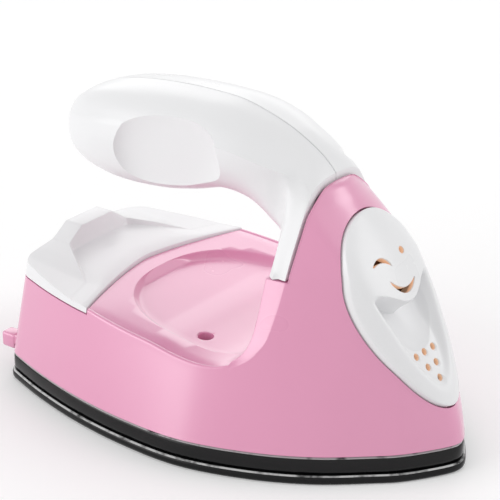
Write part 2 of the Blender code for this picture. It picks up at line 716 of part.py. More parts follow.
def build_heater():
    """Ceramic heating plate, its mica sheet, the clamp over them and the clamp's screws."""
    middle = along(HEATER_SHARE)
    half = HEATER_LENGTH / 2
    low = PLATFORM_TOP + GAP
    high = low + HEATER_THICKNESS
    box("heating_element", (middle - half, -HEATER_WIDTH / 2, low), (middle + half, HEATER_WIDTH / 2, high),
        PARTS, CERAMIC)
    low = high + GAP
    high = low + MICA_THICKNESS
    sheet_half = half + MICA_OVERHANG - CLAMP_BOSS_RADIUS / 2
    box("mica_sheet", (middle - sheet_half, -HEATER_WIDTH / 2 - MICA_OVERHANG, low),
        (middle + sheet_half, HEATER_WIDTH / 2 + MICA_OVERHANG, high), PARTS, MICA)
    low = high + GAP
    high = low + CLAMP_THICKNESS
    reach = half + CLAMP_END
    clamp = box(
        "heater_clamp", (middle - reach, -CLAMP_WIDTH / 2, low), (middle + reach, CLAMP_WIDTH / 2, high),
        PARTS, STEEL)
    for k, (x, y) in enumerate(clamp_screw_places()):
        combine(clamp, rod_object(
            "clamp_hole_%d" % k, (x, y, low - OVERRUN), (x, y, high + OVERRUN), SCREW_RADIUS + GAP))
    screws(
        "clamp_screw", [(x, y, high + GAP) for x, y in clamp_screw_places()], (0, 0, 1), SCREW_RADIUS,
        high + GAP - PLATFORM_TOP, SCREW_HEAD_RADIUS, SCREW_HEAD_HEIGHT, STEEL)
    return high


def build_thermostat(seat):
    """Snap disc thermostat: a can on a flange with two tabs."""
    x = along(HEATER_SHARE) + CAN_SHIFT_SHARE * HEATER_LENGTH
    foot = seat + GAP
    body = box("thermostat", (x - FLANGE_LENGTH / 2, -FLANGE_WIDTH / 2, foot),
               (x + FLANGE_LENGTH / 2, FLANGE_WIDTH / 2, foot + FLANGE_THICKNESS), PARTS, STEEL)
    top = foot + CAN_HEIGHT
    can = rod_object("thermostat_can", (x, 0, foot), (x, 0, top), CAN_RADIUS, sides=24)
    combine(body, can, "UNION")
    for k, side in enumerate((-1, 1)):
        y = side * CAN_RADIUS / 2
        tab = box("thermostat_tab_%d" % k, (x - TAB_WIDTH / 2, y - TAB_THICKNESS / 2, top - TAB_THICKNESS),
                  (x + TAB_WIDTH / 2, y + TAB_THICKNESS / 2, top + TAB_LENGTH))
        combine(body, tab, "UNION")
    places = [(x + side * (FLANGE_LENGTH / 2 - SMALL_HEAD_RADIUS - GAP), 0.0) for side in (-1, 1)]
    for k, (px, py) in enumerate(places):
        bore = rod_object("flange_bore_%d" % k, (px, py, foot - OVERRUN), (px, py, foot + OVERRUN),
                          SMALL_SCREW_RADIUS + GAP)
        combine(body, bore)
        combine(bpy.data.objects["heater_clamp"], bore)
    screws("thermostat_screw", [(px, py, foot + FLANGE_THICKNESS + GAP) for px, py in places], (0, 0, 1),
           SMALL_SCREW_RADIUS, FLANGE_THICKNESS + GAP + CLAMP_THICKNESS, SMALL_HEAD_RADIUS,
           SMALL_HEAD_HEIGHT, STEEL)
    return (x, top + TAB_LENGTH)


def build_thermal_fuse(seat):
    """One-shot fuse that lies on the clamp under a strap."""
    x = along(HEATER_SHARE) + FUSE_SHIFT_SHARE * HEATER_LENGTH
    z = seat + GAP + FUSE_RADIUS
    profile = (
        (0.0, FUSE_LENGTH / 2 + FUSE_WIRE_LENGTH), (FUSE_WIRE_RADIUS, FUSE_LENGTH / 2 + FUSE_WIRE_LENGTH),
        (FUSE_WIRE_RADIUS, FUSE_LENGTH / 2), (FUSE_RADIUS, FUSE_LENGTH / 2), (FUSE_RADIUS, -FUSE_LENGTH / 2),
        (FUSE_WIRE_RADIUS, -FUSE_LENGTH / 2), (FUSE_WIRE_RADIUS, -FUSE_LENGTH / 2 - FUSE_WIRE_LENGTH),
        (0.0, -FUSE_LENGTH / 2 - FUSE_WIRE_LENGTH),
    )
    smooth(turned("thermal_fuse", profile, (x, 0, z), (0, 1, 0), PARTS, BRASS))
    inner = FUSE_RADIUS + GAP
    outer = inner + CLIP_THICKNESS
    foot = seat + GAP
    outline = [
        (outer + CLIP_FOOT, foot), (outer + CLIP_FOOT, foot + CLIP_THICKNESS), (outer, foot + CLIP_THICKNESS)]
    outline += [(outer * math.cos(a), z + outer * math.sin(a)) for a in (0.0, 0.6, 1.2, 1.94, 2.54, math.pi)]
    outline += [(-outer, foot + CLIP_THICKNESS), (-outer - CLIP_FOOT, foot + CLIP_THICKNESS),
                (-outer - CLIP_FOOT, foot), (-inner, foot)]
    outline += [(inner * math.cos(a), z + inner * math.sin(a)) for a in (math.pi, 2.54, 1.94, 1.2, 0.6, 0.0)]
    outline += [(inner, foot)]
    bm = bmesh.new()
    loft(bm, [[(x + px, y, pz) for px, pz in outline] for y in (-CLIP_WIDTH / 2, CLIP_WIDTH / 2)])
    put_mesh("fuse_clip", bm, PARTS, STEEL)
    return (x, z)


def dish_cutter(name):
    """Sunk dish in the deck: an oval whose floor follows the deck and runs out before the wall."""
    rear = along(DISH_REAR_SHARE)
    middle = rear + DISH_LENGTH / 2
    end = along(DISH_END_SHARE)
    count = 24
    rings = []
    for k in range(1, count):
        a = math.pi * k / count
        x = middle - DISH_LENGTH / 2 * math.copysign(abs(math.cos(a)) ** 0.85, math.cos(a))
        if x > end:
            break
        half = DISH_WIDTH / 2 * math.sin(a) ** 0.85
        deck = deck_height((x - SOLE_REAR) / SOLE_LENGTH)
        sink = DISH_DEPTH * min((x - rear) / DISH_DEPTH, (end - x) / (end - rear) * 1.7, 1.0)
        floor = half - min(sink, half / 2)
        rings.append([
            (x, -floor, deck - sink), (x, floor, deck - sink), (x, half + GAP, deck + GAP),
            (x, half + GAP, deck + OVERRUN), (x, -half - GAP, deck + OVERRUN), (x, -half - GAP, deck + GAP)])
    bm = bmesh.new()
    loft(bm, rings)
    return put_mesh(name, bm, CUTTERS)


def cover_front(y, setback=0.0):
    """Front edge of the rear cover across the deck."""
    sweep = COVER_FRONT_SWEEP * (abs(y) / COVER_FRONT_REACH) ** 1.4
    return along(COVER_FRONT_SHARE) + sweep - setback


def cover_station(y):
    """Sizes of the cover across its width: step place, then the heights of foot, top and rear edge."""
    share = min(abs(y) / COVER_HALF_WIDTH, 1.0)
    for row, after in zip(COVER_SHARES, COVER_SHARES[1:]):
        if share <= after[0]:
            t = (share - row[0]) / (after[0] - row[0])
            return [a + (b - a) * t for a, b in zip(row[1:], after[1:])]
    return list(COVER_SHARES[-1][1:])


def cover_body(name, lower, setback, foot):
    """The cover's top run down to a foot: sections across the press at steps of width."""
    bm = bmesh.new()
    rings = []
    places = [share * COVER_HALF_WIDTH for share in COVER_SECTION_SHARES]
    for y in [-place for place in reversed(places[1:])] + places:
        step_share, low, high, rear = cover_station(y)
        front = cover_front(y, setback)
        bow = 1 - (y / COVER_HALF_WIDTH) ** 2
        edge = COVER_SEAT + COVER_CREST * (COVER_EDGE_SHARE + COVER_BOW_SHARE * bow)
        step = min(along(step_share), front - COVER_WALL)
        far = along(0.0) - OVERRUN
        heights = [edge, COVER_SEAT + COVER_CREST * low, COVER_SEAT + COVER_CREST * high,
                   COVER_SEAT + COVER_CREST * rear]
        heights = [max(z - lower, foot + GAP * (n + 1)) for n, z in enumerate(heights)]
        rings.append([
            (front, y, foot), (front, y, heights[0]), (step, y, heights[1]),
            (step - COVER_WALL / 2, y, heights[2]), (far, y, heights[3]), (far, y, foot),
        ])
    loft(bm, rings)
    return put_mesh(name, bm, CUTTERS)


def band_cutter(name, side):
    """Wedge that turns the side wall's rear edge into a narrow band under the handle's leg."""
    bm = bmesh.new()
    rings = []
    rear = along(DECK_SHARES[-1][0])
    far = SOLE_WIDTH / 2 + OVERRUN
    for k, (height, share) in enumerate(BAND_SHARES):
        rise = height / BAND_SHARES[-1][0] * BAND_RISE
        front = along(share) + GAP
        inner = wall_at(rear, rise, SHELL_INSET) - BAND_DEPTH * min((k + 0.2) / 3, 1.0)
        outer = wall_at(front, rise, SHELL_INSET) + GAP / 2
        rings.append([
            (front, side * outer, SHELL_FOOT + rise), (front, side * far, SHELL_FOOT + rise),
            (rear, side * far, SHELL_FOOT + rise), (rear, side * inner, SHELL_FOOT + rise)])
    loft(bm, rings)
    return put_mesh(name, bm, CUTTERS)


def panel_frame():
    """Frame of the front panel: its top end, the way down it, the way out of it and its length."""
    top = Vector((along(PANEL_TOP_SHARES[0]), 0.0, SHELL_FOOT + PANEL_TOP_SHARES[1] * SHELL_RISE))
    bottom = Vector((along(PANEL_BOTTOM_SHARES[0]), 0.0, SHELL_FOOT + PANEL_BOTTOM_SHARES[1] * SHELL_RISE))
    down = (bottom - top).normalized()
    out = Vector((-down.z, 0.0, down.x))
    return top, down, out, (bottom - top).length


def panel_point(place, across, height):
    """Point on the front panel: distance down from its top end, distance across, height out."""
    top, down, out, _ = panel_frame()
    return top + down * place + Vector((0.0, across, 0.0)) + out * height


def egg_ring(grow, height, scale=1.0, count=40):
    """Egg outline of the panel, grown by a width, at a height out of its plane."""
    _, _, _, length = panel_frame()
    ring = []
    peak = 1 + PANEL_EGG * PANEL_EGG / 2
    for k in range(count):
        a = math.tau * k / count
        place = length / 2 - (length / 2 * scale + grow) * math.cos(a)
        across = (PANEL_WIDTH / 2 * scale + grow) * math.sin(a) * (1 + PANEL_EGG * math.cos(a)) / peak
        ring.append(panel_point(place, across, height))
    return ring


def egg_prism(name, layers, scale=1.0, count=40):
    bm = bmesh.new()
    loft(bm, [egg_ring(grow, height, scale, count) for grow, height in layers])
    return put_mesh(name, bm, CUTTERS)


def cover_seat_cutter():
    """All that lies above the ledge and behind the front edge of the rear cover."""
    reach = SOLE_WIDTH / 2 + OVERRUN
    count = 16
    front = []
    for k in range(count + 1):
        y = reach * (2 * k / count - 1)
        front.append((cover_front(y) + GAP, y))
    far = along(0.0) - OVERRUN
    outline = front + [(far, reach), (far, -reach)]
    bm = bmesh.new()
    loft(bm, [[(x, y, z) for x, y in outline] for z in (COVER_SEAT - GAP, HANDLE_TOP / 2)])
    return put_mesh("cover_seat", bm, CUTTERS)


def build_cover():
    """White cover over the heel, with the ramp and the hump that the cord leaves through."""
    cover = cover_body("rear_cover", 0.0, 0.0, COVER_SEAT)
    to_part(cover, WHITE)
    combine(cover, mound("cover_sides", 0.0, shares=COVER_MOUND_SHARES), "INTERSECT")
    inside = cover_body("cover_inside", COVER_WALL, COVER_WALL, COVER_SEAT - OVERRUN)
    sides = mound("cover_inside_sides", COVER_WALL, SHELL_FOOT - OVERRUN, COVER_MOUND_SHARES)
    combine(inside, sides, "INTERSECT")
    middle = along(COVER_SCREW_SHARE)
    bosses = bmesh.new()
    for side in (-1, 1):
        y = side * COVER_SCREW_SPREAD
        rod(bosses, (middle, y, COVER_SEAT), (middle, y, COVER_SEAT + COVER_CREST), 2 * SCREW_RADIUS + GAP)
    combine(inside, put_mesh("cover_bosses", bosses, CUTTERS))
    combine(cover, inside)
    for k, side in enumerate((-1, 1)):
        y = side * COVER_SCREW_SPREAD
        combine(cover, rod_object(
            "cover_bore_%d" % k, (middle, y, COVER_SEAT - OVERRUN),
            (middle, y, COVER_SEAT + COVER_BITE + GAP), SCREW_RADIUS + GAP))
    ledge = deck_under_cover()
    screws("cover_screw", [(middle, side * COVER_SCREW_SPREAD, ledge - GAP) for side in (-1, 1)], (0, 0, -1),
           SCREW_RADIUS, COVER_SEAT - ledge + GAP + COVER_BITE, SCREW_HEAD_RADIUS, SCREW_HEAD_HEIGHT, STEEL)

    gland_z = COVER_SEAT + GLAND_RISE
    rear = along(0.0) + SHELL_INSET + SHELL_REAR_LEAN * (gland_z - SHELL_FOOT)
    combine(cover, rod_object(
        "gland_hole", (rear - OVERRUN, 0, gland_z), (rear + COVER_WALL + GAP, 0, gland_z),
        GLAND_RADIUS + GAP, sides=20))
    profile = (
        (GLAND_BORE_RADIUS, GLAND_FLANGE_THICKNESS), (GLAND_FLANGE_RADIUS, GLAND_FLANGE_THICKNESS),
        (GLAND_FLANGE_RADIUS, 0.0), (GLAND_RADIUS, 0.0), (GLAND_RADIUS, -GLAND_LENGTH),
        (GLAND_BORE_RADIUS, -GLAND_LENGTH), (GLAND_BORE_RADIUS, GLAND_FLANGE_THICKNESS),
    )
    smooth(turned("cord_gland", profile, (rear - 2 * GAP, 0, gland_z), (-1, 0, 0), PARTS, GLAND_BLACK, 20))
    return smooth(cover)


def deck_under_cover():
    """Underside of the ledge that the rear cover stands on."""
    return COVER_SEAT - GAP - LEDGE_WALL


def build_shell():
    """One-piece gloss shell: a leaning mound, hollow from below, with the saddle cut out of it."""
    shell = mound("body_shell", 0.0)
    to_part(shell, PINK)

    saddle = side_cutter("saddle", saddle_profile(0.0, 0.0, 0.0), SOLE_WIDTH / 2 + OVERRUN)
    combine(shell, saddle)
    combine(shell, dish_cutter("dish"))

    cavity = mound("cavity", SHELL_WALL, SHELL_FOOT - OVERRUN, COARSE_SHARES, 7, 8)
    roof = side_cutter(
        "cavity_roof", saddle_profile(SADDLE_WALL, SHELL_WALL, OVERRUN), SOLE_WIDTH / 2 + OVERRUN)
    combine(cavity, roof)
    posts = bmesh.new()
    for x, y in well_places():
        rod(posts, (x, y, PLATFORM_TOP + GAP), (x, y, deck_height(WELL_SHARE)), POST_RADIUS, sides=16)
    combine(cavity, put_mesh("posts", posts, CUTTERS))
    combine(shell, cavity)

    for k, side in enumerate((-1, 1)):
        combine(shell, band_cutter("band_%d" % k, side))

    seat = egg_prism("panel_seat", ((GAP, -OVERRUN - GAP), (GAP, OVERRUN)))
    combine(seat, mound("seat_floor", PANEL_SEAT + GAP, None, COARSE_SHARES, 7, 8))
    combine(shell, seat)
    combine(shell, egg_prism("panel_window", ((GAP, -2 * OVERRUN), (GAP, OVERRUN)), WINDOW_SHARE, 24))

    for k, (x, y) in enumerate(well_places()):
        combine(shell, rod_object(
            "well_%d" % k, (x, y, HEAD_FLOOR), (x, y, deck_height(WELL_SHARE) + OVERRUN), WELL_RADIUS,
            sides=16))
        combine(shell, rod_object(
            "post_bore_%d" % k, (x, y, SHELL_FOOT - OVERRUN), (x, y, HEAD_FLOOR + OVERRUN / 2),
            SCREW_RADIUS + GAP))
    screws("body_screw", [(x, y, HEAD_FLOOR + GAP) for x, y in well_places()], (0, 0, 1), SCREW_RADIUS,
           HEAD_FLOOR - SOLE_THICKNESS / 2, SCREW_HEAD_RADIUS, SCREW_HEAD_HEIGHT, STEEL)

    combine(shell, cover_seat_cutter())
    middle = along(COVER_SCREW_SHARE)
    combine(shell, box(
        "cover_window",
        (along(0.0) + 3 * SHELL_WALL, -COVER_HOLE_WIDTH / 2, COVER_SEAT - OVERRUN),
        (along(0.0) + 3 * SHELL_WALL + COVER_HOLE_LENGTH, COVER_HOLE_WIDTH / 2, COVER_SEAT + OVERRUN)))
    for k, side in enumerate((-1, 1)):
        y = side * COVER_SCREW_SPREAD
        combine(shell, rod_object(
            "ledge_bore_%d" % k, (middle, y, COVER_SEAT - OVERRUN), (middle, y, COVER_SEAT + OVERRUN),
            SCREW_RADIUS + GAP))
    for k, side in enumerate((-1, 1)):
        y = side * PEG_SPREAD
        top = SHELL_FOOT - PEG_DROP + PEG_HEIGHT
        root = box("peg_root_%d" % k, (SOLE_REAR - PEG_REACH / 2, y - PEG_WIDTH / 2, SHELL_FOOT + PEG_RISE),
                   (SOLE_REAR + SHELL_WALL / 2 + SHELL_INSET, y + PEG_WIDTH / 2, top))
        peg = box("heel_peg_%d" % k, (SOLE_REAR - PEG_REACH, y - PEG_WIDTH / 2, SHELL_FOOT - PEG_DROP),
                  (SOLE_REAR, y + PEG_WIDTH / 2, top))
        combine(root, peg, "UNION")
        combine(shell, root, "UNION")
    return smooth(shell)


def ball_ring(zt, zb, w, x):
    """Half section of the rounded rear of the grip, from its top seam to its bottom seam."""
    middle = (zt + zb) / 2
    points = []
    for k in range(9):
        a = math.pi * k / 8
        c = math.cos(a)
        y = w * abs(math.sin(a)) ** (2 / GRIP_ROUND)
        z = middle + (zt - middle) * math.copysign(abs(c) ** (2 / GRIP_ROUND), c)
        points.append(Vector((x, y, z)))
    points[0].y = 0.0
    points[-1].y = 0.0
    return points


def grip_sections():
    """The chosen half sections along the handle."""
    sections = []
    for share, top, bottom, width in GRIP_SHARES:
        x = HANDLE_REAR + share * HANDLE_LENGTH
        sections.append(ball_ring(
            HANDLE_TOP - top * HANDLE_DEPTH, HANDLE_TOP - bottom * HANDLE_DEPTH, width * HANDLE_WIDTH / 2, x))
    for share, points in NECK_SHARES:
        x = HANDLE_REAR + share * HANDLE_LENGTH
        sections.append([
            Vector((x, across * HANDLE_WIDTH / 2, HANDLE_TOP - fall * HANDLE_DEPTH))
            for across, fall in points])
    return sections


def spline_step(before, start, end, after, t):
    """Point of a smooth curve between two points, with their neighbours."""
    lean = (end - before) / 2
    reach = (after - start) / 2
    value = start * ((1 + 2 * t) * (1 - t) ** 2) + end * (t * t * (3 - 2 * t))
    return value + lean * (t * (1 - t) ** 2) - reach * (t * t * (1 - t))


def refine_run(points, steps):
    """Smooth run through its points, with new points between them."""
    last = len(points) - 1
    out = []
    for k in range(last):
        before = points[k - 1] if k else points[0] * 2 - points[1]
        after = points[k + 2] if k + 2 <= last else points[-1] * 2 - points[-2]
        out += [spline_step(before, points[k], points[k + 1], after, n / steps) for n in range(steps)]
    return out + [points[-1]]


def refine_section(points):
    """Half section with points added between the chosen ones, its crease and its foot kept sharp."""
    upper = refine_run(points[:CREASE_POINT + 1], RING_STEPS)
    side = refine_run(points[CREASE_POINT:FOOT_POINT + 1], RING_STEPS)
    under = refine_run(points[FOOT_POINT:], RING_STEPS)
    return upper + side[1:] + under[1:]


def along_blend(sections, k, t):
    """Section between two chosen ones, smooth along the handle."""
    last = len(sections) - 1
    first, second = sections[k], sections[k + 1]
    before = sections[max(k - 1, 0)]
    after = sections[min(k + 2, last)]
    span = second[0].x - first[0].x
    out = []
    for p, a, b, q in zip(before, first, second, after):
        lean = (b - p) / (b.x - p.x)
        reach = (q - a) / (q.x - a.x)
        value = a * ((1 + 2 * t) * (1 - t) ** 2) + b * (t * t * (3 - 2 * t))
        out.append(value + lean * (span * t * (1 - t) ** 2) - reach * (span * t * t * (1 - t)))
    return out


def grip_body(name, inset, steps, front_reach):
    """The whole handle as one closed form, drawn in by an inset."""
    chosen = grip_sections()
    sections = []
    for k in range(len(chosen) - 1):
        count = 1 if k == 0 or k >= len(chosen) - 4 else steps
        sections += [along_blend(chosen, k, n / count) for n in range(count)]
    sections.append(chosen[-1])
    sections = [refine_section(section) for section in sections]
    rings = []
    for section in sections:
        middle = (section[0] + section[-1]) / 2
        ring = []
        for point in section:
            inward = middle - point
            reach = min(inset / max(inward.length, inset), 0.9)
            ring.append(point + inward * reach)
        for point in (ring[0], ring[-1]):
            point.y = 0.0
        rings.append(ring)
    if inset:
        rings = [ring for ring in rings if ring[0].z - ring[-1].z > 2 * inset]
    last = [Vector((point.x + front_reach, point.y, point.z)) for point in rings[-1]]
    rings.append(last)
    bm = bmesh.new()
    full = [[tuple(p) for p in ring] + [(p.x, -p.y, p.z) for p in reversed(ring[1:-1])] for ring in rings]
    loops = [[bm.verts.new(point) for point in ring] for ring in full]
    count = len(loops[0])
    for low, high in zip(loops, loops[1:]):
        for k in range(count):
            n = (k + 1) % count
            bm.faces.new((low[k], low[n], high[n], high[k]))
    bm.faces.new(loops[-1])
    middle = (rings[0][0] + rings[0][-1]) / 2
    tip = bm.verts.new((HANDLE_REAR + inset, 0.0, middle.z))
    rear = loops[0]
    for k in range(count):
        bm.faces.new((tip, rear[(k + 1) % count], rear[k]))
    bmesh.ops.triangulate(bm, faces=bm.faces)
    return put_mesh(name, bm, CUTTERS)


def thumb_ball(name, side, grow, segments):
    """Ball that scoops a thumb rest out of one side of the handle, grown by a width."""
    ball = bmesh.new()
    bmesh.ops.create_uvsphere(ball, u_segments=segments, v_segments=segments * 3 // 5, radius=1.0)
    size = [length / 2 + grow for length in (THUMB_LENGTH, THUMB_HEIGHT, THUMB_WIDTH)]
    bmesh.ops.scale(ball, vec=size, verts=ball.verts)
    turn = Matrix.Rotation(math.radians(90 + side * -THUMB_TILT), 4, "X")
    middle = Vector((
        HANDLE_REAR + THUMB_SHARE * HANDLE_LENGTH,
        side * (HANDLE_WIDTH / 2 - THUMB_DEPTH + THUMB_WIDTH / 2), HANDLE_TOP - THUMB_DROP))
    bmesh.ops.transform(ball, matrix=Matrix.Translation(middle) @ turn, verts=ball.verts)
    return put_mesh(name, ball, CUTTERS)


def build_handle():
    """Two white shells that meet on the middle plane, with a tongue each inside the press."""
    screw_places = []
    for x_share, drop in HANDLE_SCREW_SHARES:
        screw_places.append((HANDLE_REAR + x_share * HANDLE_LENGTH, HANDLE_TOP - drop * HANDLE_DEPTH))
    foot, top = collar_line(2 * GAP)
    high = HANDLE_TOP + OVERRUN
    beyond = top[0] + 3 * OVERRUN
    front_profile = [(foot[0], LEG_END - OVERRUN), foot, top, (top[0], high), (beyond, high),
                     (beyond, LEG_END - OVERRUN)]
    front = side_cutter("handle_front", front_profile, SOLE_WIDTH / 2)
    cavity = grip_body("handle_cavity", HANDLE_WALL, 1, OVERRUN)
    bosses = bmesh.new()
    for x, z in screw_places:
        rod(bosses, (x, -HANDLE_WIDTH, z), (x, HANDLE_WIDTH, z), SCREW_HEAD_RADIUS + HANDLE_WALL / 2,
            sides=16)
    combine(cavity, put_mesh("handle_bosses", bosses, CUTTERS))
    for side in (-1, 1):
        combine(cavity, thumb_ball("cavity_ball_%d" % (side + 1), side, 0.7 * HANDLE_WALL, 12))

    wall_front = along(SADDLE_WALL_SHARES[-1][0]) + SADDLE_WALL + GAP
    for side, name in ((-1, "handle_right"), (1, "handle_left")):
        half = grip_body(name, 0.0, RING_STEPS, OVERRUN)
        to_part(half, WHITE)
        combine(half, front)
        combine(half, cavity)
        reach = HANDLE_WIDTH + OVERRUN
        ys = (-side * reach, side * GAP / 2)
        combine(half, box(
            name + "_seam", (HANDLE_REAR - OVERRUN, min(ys), LEG_END - OVERRUN),
            (HANDLE_REAR + HANDLE_LENGTH + 2 * OVERRUN, max(ys), high)))
        combine(half, thumb_ball(name + "_thumb_ball", side, 0.0, 28))
        for k, (x, z) in enumerate(screw_places):
            combine(half, rod_object(
                "%s_bore_%d" % (name, k), (x, -BOSS_BITE, z), (x, HANDLE_WIDTH, z), SCREW_RADIUS + GAP))
            if side > 0:
                combine(half, rod_object(
                    "%s_well_%d" % (name, k), (x, HANDLE_HEAD_SEAT, z), (x, HANDLE_WIDTH, z),
                    SCREW_HEAD_RADIUS + GAP))
        y = side * TONGUE_SPREAD
        tongue = box(
            name + "_tongue", (wall_front, y - TONGUE_WIDTH / 2, LEG_END - TONGUE_DROP),
            (wall_front + TONGUE_THICKNESS, y + TONGUE_WIDTH / 2, LEG_END + 0.6 * HANDLE_WALL))
        combine(half, tongue, "UNION")
        tongue_root = box(
            name + "_tongue_root", (top[0] - TONGUE_ROOT, y - TONGUE_WIDTH / 2, LEG_END + GAP),
            (wall_front + TONGUE_THICKNESS / 2, y + TONGUE_WIDTH / 2, LEG_END + HANDLE_WALL / 2))
        combine(half, tongue_root, "UNION")
        z = LEG_END - TONGUE_SCREW_DROP
        bore = rod_object(
            name + "_tongue_bore", (wall_front - SADDLE_WALL + 2 * GAP, y, z), (wall_front + OVERRUN, y, z),
            SCREW_RADIUS + GAP)
        combine(half, bore)
        combine(bpy.data.objects["body_shell"], bore)
        smooth(half)
    screws("handle_screw", [(x, HANDLE_HEAD_SEAT + GAP, z) for x, z in screw_places], (0, 1, 0), SCREW_RADIUS,
           HANDLE_HEAD_SEAT + BOSS_BITE, SCREW_HEAD_RADIUS, SCREW_HEAD_HEIGHT, STEEL)
    head = wall_front + TONGUE_THICKNESS + GAP
    screws("tongue_screw", [(head, side * TONGUE_SPREAD, LEG_END - TONGUE_SCREW_DROP) for side in (-1, 1)],
           (1, 0, 0), SCREW_RADIUS, TONGUE_THICKNESS + SADDLE_WALL - 2 * GAP, SCREW_HEAD_RADIUS,
           SCREW_HEAD_HEIGHT, STEEL)


def crescent(name, middle, across, width, rise, thickness, tilt):
    """Slit through the panel: a thin crescent between two arcs."""
    count = 9
    upper = []
    lower = []
    for k in range(count):
        t = 2 * k / (count - 1) - 1
        bow = rise * (1 - t * t)
        upper.append((t * width / 2, bow + thickness * (1 - t * t) / 2))
        lower.append((t * width / 2, bow - thickness * (1 - t * t) / 2 - GAP / 2))
    outline = upper + list(reversed(lower))
    bm = bmesh.new()
    rings = []
    for height in (-OVERRUN, OVERRUN):
        ring = []
        for u, v in outline:
            turned_u = u * math.cos(tilt) - v * math.sin(tilt)
            turned_v = u * math.sin(tilt) + v * math.cos(tilt)
            ring.append(panel_point(middle - turned_v, across + turned_u, height))
        rings.append(ring)
    loft(bm, rings)
    return put_mesh(name, bm, CUTTERS)


def fade(value):
    """Smooth step from 0 to 1."""
    t = min(max(value, 0.0), 1.0)
    return t * t * (3 - 2 * t)


def chin_place(across):
    """How far down the panel the chin lies, at a distance across it."""
    return CHIN_SHARE * panel_frame()[3] - CHIN_SWEEP * fade(abs(across) / CHIN_REACH / 1.2) * 1.2


def relief_height(place, across):
    """Height of the panel's front over its plane: face, then bib with its hollow."""
    length = panel_frame()[3]
    from_crown = (place - FACE_CROWN_SHARE * length) ** 2 + across * across
    face = FACE_HEIGHT - FACE_BOW_SHARE * from_crown / length
    bib = BIB_HEIGHT + BIB_RISE * (place - BIB_SHARE * length) + BIB_BOW_SHARE * across * across / length
    run = (place - CHIN_SHARE * length) / ((HOLLOW_END_SHARE - CHIN_SHARE) * length)
    half = HOLLOW_WIDTH / 2 * math.sqrt(max(1 - max(run, 0.0) ** 2, 0.0))
    if half > abs(across):
        bib -= HOLLOW_DEPTH * (1 - max(run, 0.0) ** 2) * (1 - (across / half) ** 2)
    width = CHIN_ROUND + CHIN_FADE * fade((abs(across) - CHIN_REACH / 1.4) / CHIN_REACH * 2)
    step = fade((place - chin_place(across)) / width + 0.5)
    return face + (bib - face) * step


def relief_cutter(name, lower):
    """All that lies over the panel's relief, lowered by a skin."""
    length = panel_frame()[3]
    columns = [-share * length for share in reversed(RELIEF_COLUMN_SHARES[1:])]
    columns += [share * length for share in RELIEF_COLUMN_SHARES]
    rings = []
    for row in RELIEF_ROW_SHARES:
        ring = []
        for across in columns:
            place = chin_place(across) + row * length
            ring.append(panel_point(place, across, relief_height(place, across) - lower))
        for across in reversed(columns):
            ring.append(panel_point(chin_place(across) + row * length, across, 2 * OVERRUN))
        rings.append(ring)
    bm = bmesh.new()
    loft(bm, rings)
    bmesh.ops.triangulate(bm, faces=bm.faces)
    return put_mesh(name, bm, CUTTERS)


def build_panel():
    """White front panel: face, chin and hollow, a sieve of holes and the cut-outs that light up."""
    length = panel_frame()[3]
    panel = egg_prism("face_panel", ((0.0, -OVERRUN), (0.0, OVERRUN)))
    to_part(panel, WHITE)
    combine(panel, mound("panel_face", -PANEL_PROUD), "INTERSECT")
    combine(panel, relief_cutter("relief", 0.0))
    back = mound("panel_back", PANEL_SEAT, None, COARSE_SHARES, 7, 8)
    combine(back, relief_cutter("relief_back", PANEL_SKIN))
    posts = bmesh.new()
    for share in PANEL_POST_SHARES:
        rod(posts, panel_point(share * length, 0, GAP - DIFFUSER_DEPTH), panel_point(share * length, 0, 0),
            PANEL_POST_RADIUS)
    combine(back, put_mesh("panel_posts", posts, CUTTERS))
    combine(panel, back)

    sieve = bmesh.new()
    row_step = SIEVE_PITCH * SIEVE_ROW_SHARE
    for row, count in enumerate(SIEVE_COUNTS):
        place = SIEVE_TOP_SHARE * length + row * row_step
        for k in range(count):
            across = (k - (count - 1) / 2) * SIEVE_PITCH
            rod(sieve, panel_point(place, across, -2 * OVERRUN), panel_point(place, across, OVERRUN),
                SIEVE_HOLE / 2, sides=10)
    rod(sieve, panel_point(EYE_PLACE_SHARE * length, EYE_SPREAD, -OVERRUN),
        panel_point(EYE_PLACE_SHARE * length, EYE_SPREAD, OVERRUN), EYE_HOLE / 2, sides=12)
    combine(panel, put_mesh("sieve", sieve, CUTTERS))
    combine(panel, crescent(
        "wink", EYE_PLACE_SHARE * length, -EYE_SPREAD, WINK_WIDTH, WINK_RISE, WINK_SLIT,
        math.radians(-WINK_TILT)))
    combine(panel, crescent(
        "smile", SMILE_PLACE_SHARE * length, 0.0, SMILE_WIDTH, -SMILE_RISE, SMILE_SLIT,
        math.radians(-SMILE_TILT)))
    for k, share in enumerate(PANEL_POST_SHARES):
        combine(panel, rod_object(
            "panel_post_bore_%d" % k, panel_point(share * length, 0, -DIFFUSER_DEPTH - OVERRUN),
            panel_point(share * length, 0, -PANEL_BITE_FROM), SMALL_SCREW_RADIUS + GAP))
    smooth(panel)


